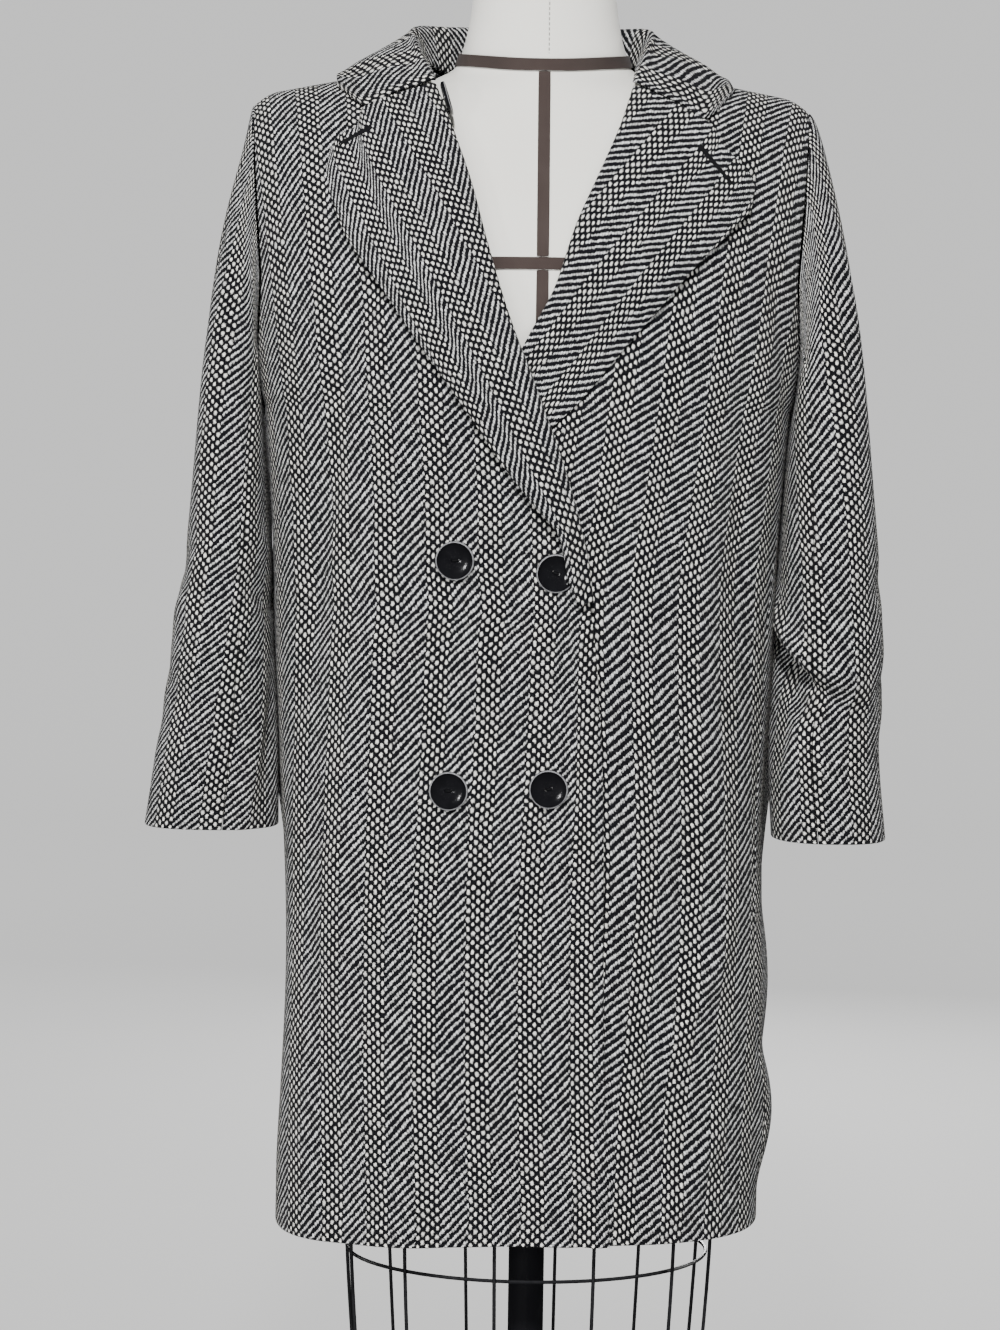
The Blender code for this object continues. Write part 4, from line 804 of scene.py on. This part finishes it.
LEFT_LAPEL = {
    "roll": ((-0.0250, 1.180), (-0.0035, 1.222), (0.0137, 1.255), (0.0311, 1.308), (0.0480, 1.347),
             (0.0661, 1.390), (0.0780, 1.4265)),
    "edge": ((-0.0060, 1.131), (0.0096, 1.1437), (0.0328, 1.1664), (0.0616, 1.2013), (0.0898, 1.2341),
             (0.1225, 1.2728), (0.1405, 1.2914), (0.1579, 1.3099), (0.1688, 1.3219), (0.1730, 1.3414)),
    "top": ((0.0780, 1.4265), (0.1329, 1.3967), (0.1484, 1.3734), (0.1558, 1.3658), (0.1672, 1.3539),
            (0.1730, 1.3414))}


def along(points, share):
    """Points at shares of the length of a smooth line through points."""
    points = np.array(points)
    lengths = summed(np.linalg.norm(np.diff(points, axis=0), axis=1))
    lengths = lengths / lengths[-1]
    table = (("at", 0, 1), [(s, *p) for s, p in zip(lengths, points)])
    return np.stack([column(table, k, share) for k in (0, 1)], axis=-1)


def patch(lines, u, v):
    """Points of the flat pattern of a lapel, u from the roll line out, v from the foot up."""
    roll, edge, top = along(lines["roll"], v), along(lines["edge"], v), along(lines["top"], u)
    foot_in, foot_out = np.array(lines["roll"][0]), np.array(lines["edge"][0])
    top_in, top_out = np.array(lines["roll"][-1]), np.array(lines["edge"][-1])
    u, v = u[..., None], v[..., None]
    return ((1 - u) * roll + u * edge + (1 - v) * ((1 - u) * foot_in + u * foot_out) + v * top
            - (1 - u) * (1 - v) * foot_in - u * (1 - v) * foot_out - (1 - u) * v * top_in - u * v * top_out)


def lapel(name, node, lines, toward, lift, full, foot, grain, fine):
    """A lapel whose roll turns over past the edge of its front. Its threads run along the line grain and
    lie as much closer as fine says at the foot and at the top."""
    at, v = np.meshgrid(np.concatenate((np.linspace(0.0, 0.2, 22), np.linspace(0.21, 0.96, 56),
                                        (0.968, 0.978, 0.985, 0.990, 0.994, 0.997, 1.0))),
                        np.concatenate(((0.0, 0.0015, 0.004, 0.008), np.linspace(0.014, 0.984, 128),
                                        (0.989, 0.993, 0.996, 0.998, 1.0))))
    share, close, past, height = (column(LAPEL_SECTION, key, at) for key in LAPEL_SECTION[0][1:])
    flat_at = patch(lines, np.clip(share, 0.0, 1.0), v)
    x, z = flat_at[..., 0], flat_at[..., 1]
    puff = full(v, z)
    x = x + toward * (close + (past - close) * puff)
    height = LAPEL_FLAT + (height - LAPEL_FLAT) * puff + foot(v)
    grid = np.stack((x, front_y(x, z) - lift(x, z) - height, z), axis=-1)
    out = x[:, :1] + run(grid, 1) * np.sign(x[:, -1:] - x[:, :1]) - column(grain, "x", z)
    heights = np.linspace(z.min(), z.max(), 200)
    line = column(grain, "x", heights)
    climb = summed(np.hypot(np.diff(line), np.diff(heights)))
    turn = np.interp(z, heights, np.arctan(-np.gradient(line, heights)))
    cut = np.stack((out * np.cos(turn), np.interp(z, heights, climb) - out * np.sin(turn)), axis=-1)
    up = cut[..., 1]
    gain = (fine[1] - fine[0]) / up.max()
    weave = np.stack((cut[..., 0] * (fine[0] + gain * up) + NUB_MIDDLE,
                      (fine[0] + gain * up / 2) * up), axis=-1)
    cloth(name, node, grid, cut, (LAPEL_EDGE, LAPEL_EDGE, 0.0, LAPEL_EDGE), LAPEL_WALL,
          None, (AXIS_X, 0.2, 1.2), weave)


RIGHT_GRAIN = (("z", "x"), (
    (0.995, 0.0410), (1.062, 0.0200), (1.120, -0.0090), (1.180, -0.0400), (1.260, -0.0850), (1.352, -0.1390),
    (1.430, -0.1860)))
LEFT_GRAIN = (("z", "x"), ((1.120, -0.0660), (1.220, 0.0210), (1.330, 0.1160), (1.430, 0.2030)))
lapel("coat_lapel_right", "lapel_right", RIGHT_LAPEL, 1, lap, lambda v, z: ease(v, -0.04, 0.14),
      lambda v: FOOT_LIFT * (1 - ease(v, 0.10, 0.24)), RIGHT_GRAIN, (0.94, 1.18))
lapel("coat_lapel_left", "lapel_left", LEFT_LAPEL, -1, lambda x, z: 0.0, lambda v, z: ease(z, 1.190, 1.285),
      lambda v: 0.0, LEFT_GRAIN, (0.97, 1.06))

# Collar: cut in one with its stand, it rises from the neckline, folds over and falls on the shoulders,
# meeting the lapels at the notches. Like the lapels it is tweed on both faces with a pressed edge.
COLLAR_WALL, COLLAR_OFF = 0.0022, 0.0066
COLLAR = (("share", "fold_x", "fold_y", "fold_z", "edge_x", "edge_y", "seam_x", "seam_y", "seam_z"), (
    (0.0, 0.000, 0.083, 1.4905, 0.000, 0.0920, 0.0000, 0.0750, 1.4365),
    (0.2, 0.038, 0.077, 1.4900, 0.048, 0.0850, 0.0355, 0.0655, 1.4390),
    (0.4, 0.074, 0.053, 1.4875, 0.102, 0.0560, 0.0660, 0.0420, 1.4445),
    (0.6, 0.100, 0.018, 1.4820, 0.143, 0.0270, 0.0875, 0.0080, 1.4510),
    (0.8, 0.0970, -0.020, 1.4620, 0.163, -0.0040, 0.0865, -0.0265, 1.4485)))
COLLAR_END = (("share", "over", "height"), (
    (0.00, 0.0050, 0.0016), (0.00, 0.0050, 0.0062), (0.00, 0.0012, 0.0092), (0.12, 0.0, 0.0088),
    (0.30, 0.0, 0.0068)))
COLLAR_TIP = {-1: (0.1620, 1.4270), 1: (0.1690, 1.4270)}
NOTCH_HEIGHT, TIP_HEIGHT, GORGE_GAP, LIP_GAP, FALL_CLEAR = 0.0060, 0.0095, 0.0025, 0.0034, 0.0075
FOLD_HALF, FOLD_DROP = 0.0062, 0.0065


def shoulder_z(dx, y):
    """Height of the shoulder at a point seen from above."""
    top = nape(dx) if y > 0 else 0.0
    half, power = shoulder_half(1.0), column(BODY, "power", ARMPIT_Z)
    deep = column(BODY, "back" if y > 0 else "front", ARMPIT_Z)
    deep = deep * (1 - (abs(dx) / half) ** power) ** (1 / power)
    share = np.clip((abs(y) - top) / (deep - top), 0.0, 1.0)
    return ARMPIT_Z + (seam_top(dx) - ARMPIT_Z) * np.sqrt(1 - share ** 2)


def collar_section(side, row):
    """Seven points of the collar, seam to outer edge, on one side of the neck."""
    fold, seam = np.array(row[1:4]), np.array(row[6:])
    edge = np.array((*row[4:6], shoulder_z(*row[4:6]) + COLLAR_OFF))
    out = np.array((fold[0], fold[1], 0.0)) / math.hypot(fold[0], fold[1])
    inside = fold - out * FOLD_HALF - np.array((0, 0, FOLD_DROP))
    outside = fold + out * FOLD_HALF - np.array((0, 0, FOLD_DROP * 0.7))
    swell = np.array((0.0, 0.0, 0.003)) + out * 0.002
    points = [seam, inside, fold, outside, outside + (edge - outside) * 0.36 + swell,
              outside + (edge - outside) * 0.70 + swell * 0.6, edge]
    return [(AXIS_X + side * p[0], p[1], p[2]) for p in points]


def collar_end(side):
    """The last section, along the gorge to the notch and on to the tip."""
    top = (LEFT_LAPEL if side > 0 else RIGHT_LAPEL)["top"]
    points = []
    for share, past, height in COLLAR_END[1]:
        x, z = along(top, np.array(share))
        x, z = x - side * past, z + (GORGE_GAP if share > 0 else LIP_GAP)
        points.append((x, front_y(x, z) - height, z))
    x, z = top[1][0], top[1][1] + GORGE_GAP
    points.append((x, front_y(x, z) - NOTCH_HEIGHT, z))
    x, z = AXIS_X + side * COLLAR_TIP[side][0], COLLAR_TIP[side][1]
    points.append((x, front_y(x, z) - TIP_HEIGHT, z))
    return points


def through(rows, at):
    """Rows of points on smooth curves through whole rows, counted from 0."""
    flat_rows = rows.reshape(len(rows), -1)
    keys = tuple(range(flat_rows.shape[1]))
    table = (("at",) + keys, [(k, *row) for k, row in enumerate(flat_rows)])
    return np.stack([column(table, k, at) for k in keys], axis=-1).reshape(len(at), *rows.shape[1:])


sections = [collar_end(-1)] + [collar_section(-1, row) for row in reversed(COLLAR[1])]
sections += [collar_section(1, row) for row in COLLAR[1][1:]] + [collar_end(1)]
rough = through(np.array(sections, float), np.linspace(0.0, len(sections) - 1, 27))
fall = rough[:, 3:]
clear_y = np.minimum(fall[..., 1], front_y(fall[..., 0], fall[..., 2]) - FALL_CLEAR)
fall[..., 1] = np.where(fall[..., 1] < 0, clear_y, fall[..., 1])
over_it = np.concatenate((np.linspace(0.0, 5.9, 60), (5.93, 5.955, 5.975, 5.99, 6.0)))
along_it = np.concatenate(((0.0, 0.02, 0.05, 0.09, 0.14), np.linspace(0.25, 25.75, 196),
                           (25.86, 25.91, 25.95, 25.98, 26.0)))
grid = through(through(rough.transpose(1, 0, 2), over_it).transpose(1, 0, 2), along_it)
length, width = run(grid, 0), run(grid, 1)
fold_col = int(np.argmin(np.abs(over_it - 2.0)))
cut = np.stack((length[:, [fold_col]] - length[len(along_it) // 2, fold_col] + 0.0 * width, -width), axis=-1)
cloth("coat_collar", "collar", grid, cut, (0.0010, 0.0010, 0.0006, 0.0011), COLLAR_WALL,
      None, (AXIS_X, 0.0, 1.44))

# Buttons: five pressed black rounds with a raised rim and a dished face, each sewn through two holes
# with black thread. Four sit on the right front, the fifth on the lapel's roll at the throat.
polish = Finish("polished_black", Specular_IOR_Level=0.5)
spot, *_ = polish.place()
scuffs = (polish.noise(spot, 900.0, 4.0) * 3.2 - 1.7).clamp()
cloudy = polish.noise(spot, 120.0)
polish.wear(Base_Color=polish.mix(cloudy, (0.0025, 0.0025, 0.003), (0.006, 0.006, 0.007)),
            Roughness=0.17 + scuffs * 0.12, Normal=polish.bump(scuffs, 0.00006, 0.4))
sewing = Finish("black_thread", Roughness=0.90, Specular_IOR_Level=0.08)
spot, *_ = sewing.place()
ply = sewing.noise(spot, 2600.0)
sewing.wear(Base_Color=sewing.mix(ply, (0.002, 0.002, 0.0025), (0.010, 0.010, 0.0105)),
            Normal=sewing.bump(ply, 0.0002, 0.7))
BUTTON_FOOT, HOLE_RADIUS, HOLE_OFF, STITCH_Z = 0.0130, 0.00115, 0.0023, 0.0006
HIGHLIGHT_FROM, HIGHLIGHT_TO, HIGHLIGHT_Z = 0.0149, 0.0156, 0.0041
BUTTON_STEPS = ((0.0157, 0.0014), (0.0159, 0.0026), (0.0157, 0.0040), (0.0152, 0.0046), (0.0147, 0.0047),
                (0.0142, 0.0044), (0.0136, 0.0037), (0.0128, 0.0031), (0.0115, 0.0025), (0.0095, 0.0019),
                (0.0070, 0.0015), (0.0030, 0.0013))
bpy.ops.object.select_all(action="DESELECT")
bpy.ops.mesh.primitive_circle_add(vertices=64, radius=BUTTON_FOOT, fill_type="NGON")
button = bpy.context.object
bpy.ops.object.mode_set(mode="EDIT")
wide, tall = BUTTON_FOOT, 0.0
for radius, height in BUTTON_STEPS:
    bpy.ops.mesh.extrude_region_move(TRANSFORM_OT_translate={"value": (0.0, 0.0, height - tall)})
    bpy.ops.transform.resize(value=(radius / wide, radius / wide, 1.0))
    wide, tall = radius, height
bpy.ops.mesh.select_all(action="SELECT")
bpy.ops.mesh.normals_make_consistent(inside=False)
bpy.ops.object.mode_set(mode="OBJECT")
for side in (-1, 1):
    bpy.ops.mesh.primitive_cylinder_add(vertices=20, radius=HOLE_RADIUS, depth=0.02,
                                        location=(side * HOLE_OFF, 0.0, 0.0))
    drill = bpy.context.object
    bpy.ops.object.select_all(action="DESELECT")
    bpy.context.view_layer.objects.active = button
    button.select_set(True)
    hole = button.modifiers.new("hole", "BOOLEAN")
    hole.operation, hole.object, hole.solver = "DIFFERENCE", drill, "EXACT"
    bpy.ops.object.modifier_apply(modifier="hole")
    bpy.data.objects.remove(drill, do_unlink=True)
soft_rim = button.modifiers.new("soft_rim", "BEVEL")
soft_rim.width, soft_rim.segments = 0.00022, 2
soft_rim.limit_method, soft_rim.angle_limit = "ANGLE", math.radians(50.0)
bpy.ops.object.modifier_apply(modifier="soft_rim")
bpy.ops.object.shade_smooth_by_angle(angle=math.radians(40.0))
button.data.materials.append(polish.material)
# Painted highlight: the faces on the crest of each rim get a patchy pale grey base colour, standing for the
# light the glossy rim reflects.
painted_rim_highlight = Finish("painted_rim_highlight", Roughness=0.30, Specular_IOR_Level=0.5)
spot, *_ = painted_rim_highlight.place()
highlight_patches = painted_rim_highlight.noise(spot, 700.0, 4.0)
painted_rim_highlight.wear(Base_Color=painted_rim_highlight.mix(highlight_patches, (0.03, 0.03, 0.032), (0.26, 0.26, 0.27)))
button.data.materials.append(painted_rim_highlight.material)
# The rim's crest faces take the painted highlight.
for face in button.data.polygons:
    if HIGHLIGHT_FROM < math.hypot(face.center.x, face.center.y) < HIGHLIGHT_TO and face.center.z > HIGHLIGHT_Z:
        face.material_index = 1

bpy.ops.object.select_all(action="DESELECT")
bpy.ops.mesh.primitive_torus_add(major_segments=24, minor_segments=8, major_radius=HOLE_OFF,
                                 minor_radius=0.00055, rotation=(math.radians(90.0), 0.0, 0.0),
                                 location=(0.0, 0.0, STITCH_Z))
stitch = bpy.context.object
bpy.ops.object.transform_apply(location=True, rotation=True, scale=True)
bpy.ops.object.mode_set(mode="EDIT")
bpy.ops.mesh.select_all(action="SELECT")
bpy.ops.transform.resize(value=(1.0, 1.5, 0.86), center_override=(0.0, 0.0, STITCH_Z))
bpy.ops.object.mode_set(mode="OBJECT")
bpy.ops.object.shade_smooth()
stitch.data.materials.append(sewing.material)


def right_front(x, z):
    """Outer face of the right front at a point seen from the front."""
    return np.array((x, float(front_y(x, z) - lap(x, z)), z))


def on_cloth(seat, axis, turn=0.0):
    """Where a flat-lying piece goes: its middle on the seat, its face along the axis."""
    axis = Vector(axis).normalized()
    side = Vector((0.0, 0.0, 1.0)).cross(axis).normalized()
    up = axis.cross(side)
    place = Matrix((side, up, axis)).transposed().to_4x4()
    place.translation = Vector(seat)
    return place @ Matrix.Rotation(math.radians(turn), 4, "Z")


BUTTON_SEAT, NEAR = 0.0006, 0.012
BUTTONS = (("button_upper_outer", -0.0670, 1.0360, 4.0), ("button_upper_edge", 0.0140, 1.0270, -20.0),
           ("button_lower_outer", -0.0700, 0.8490, 2.0), ("button_lower_edge", 0.0110, 0.8520, 14.0))
THROAT_AT, THROAT_AXIS, THROAT_SCALE = (-0.08215, -0.0775, 1.4107), (0.957, -0.05, 0.29), 0.9
button_places = {}
for name, x, z, turn in BUTTONS:
    lean = np.cross(right_front(x + NEAR, z) - right_front(x - NEAR, z),
                    right_front(x, z + NEAR) - right_front(x, z - NEAR))
    lean = lean / np.linalg.norm(lean)
    button_places[name] = on_cloth(right_front(x, z) + lean * BUTTON_SEAT, lean, turn)
button_places["button_throat"] = on_cloth(THROAT_AT, THROAT_AXIS) @ Matrix.Scale(THROAT_SCALE, 4)
for name, place in button_places.items():
    for source, word in ((button, "round"), (stitch, "thread")):
        copy = bpy.data.objects.new(name.replace("button", word), source.data.copy())
        copy.data.transform(place)
        bpy.context.scene.collection.objects.link(copy)
        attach(copy, "root")
        if source is button:
            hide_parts(name)
for made in (button, stitch):
    bpy.data.objects.remove(made, do_unlink=True)

# Buttonholes: one worked through each lapel near its notch, a slit closed by a cord of buttonhole stitch
# with a round eye at one end. They lie flat on the lapel.
BUTTONHOLES = (("right", (-0.1425, 1.3852), (-0.1655, 1.3722)), ("left", (0.1275, 1.3722), (0.1515, 1.3440)))
CORD_ROUND, CORD_THICK, EYE_RADIUS, EYE_Z, SLIT_WIDE, SLIT_Z = 0.0014, 0.0007, 0.0023, 0.0012, 0.0022, 0.0006
PRESSED, OFF_CLOTH = 0.6, 0.0001
bpy.context.view_layer.update()
for side, eye, toe in BUTTONHOLES:
    bpy.ops.object.select_all(action="DESELECT")
    reach_out = math.hypot(toe[0] - eye[0], toe[1] - eye[1])
    bpy.ops.mesh.primitive_torus_add(major_segments=32, minor_segments=8, major_radius=CORD_ROUND,
                                     minor_radius=CORD_THICK)
    worked = bpy.context.object
    worked.name = f"buttonhole_{side}"
    bpy.ops.object.mode_set(mode="EDIT")
    bpy.ops.mesh.select_all(action="DESELECT")
    bpy.ops.object.mode_set(mode="OBJECT")
    for vertex in worked.data.vertices:
        vertex.select = vertex.co.x > 0.00005
    bpy.ops.object.mode_set(mode="EDIT")
    bpy.ops.transform.translate(value=(reach_out, 0.0, 0.0))
    bpy.ops.transform.resize(value=(1.0, 0.72, 1.0), center_override=(reach_out, 0.0, 0.0))
    bpy.ops.mesh.select_all(action="SELECT")
    bpy.ops.mesh.subdivide(number_cuts=2)
    bpy.ops.mesh.primitive_circle_add(vertices=24, radius=EYE_RADIUS, fill_type="TRIFAN",
                                      location=(0.0, 0.0, EYE_Z))
    slit = (reach_out / 2, 0.0, SLIT_Z)
    bpy.ops.mesh.primitive_grid_add(x_subdivisions=16, y_subdivisions=2, size=1.0, location=slit)
    bpy.ops.transform.resize(value=(reach_out, SLIT_WIDE, 1.0), center_override=slit)
    bpy.ops.object.mode_set(mode="OBJECT")
    heading = math.atan2(toe[1] - eye[1], toe[0] - eye[0])
    carrier = bpy.data.objects[f"coat_lapel_{side}"]
    for vertex in worked.data.vertices:
        across, up, off = vertex.co
        x = eye[0] + across * math.cos(heading) - up * math.sin(heading)
        z = eye[1] + across * math.sin(heading) + up * math.cos(heading)
        _, spot, _, _ = carrier.ray_cast(Vector((x, -0.4, z)), Vector((0.0, 1.0, 0.0)))
        vertex.co = (x, spot.y - off * PRESSED - OFF_CLOTH, z)
    bpy.ops.object.mode_set(mode="EDIT")
    bpy.ops.mesh.select_all(action="SELECT")
    bpy.ops.mesh.normals_make_consistent(inside=False)
    bpy.ops.object.mode_set(mode="OBJECT")
    bpy.ops.object.shade_smooth()
    worked.data.materials.append(sewing.material)
    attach(worked, "root")
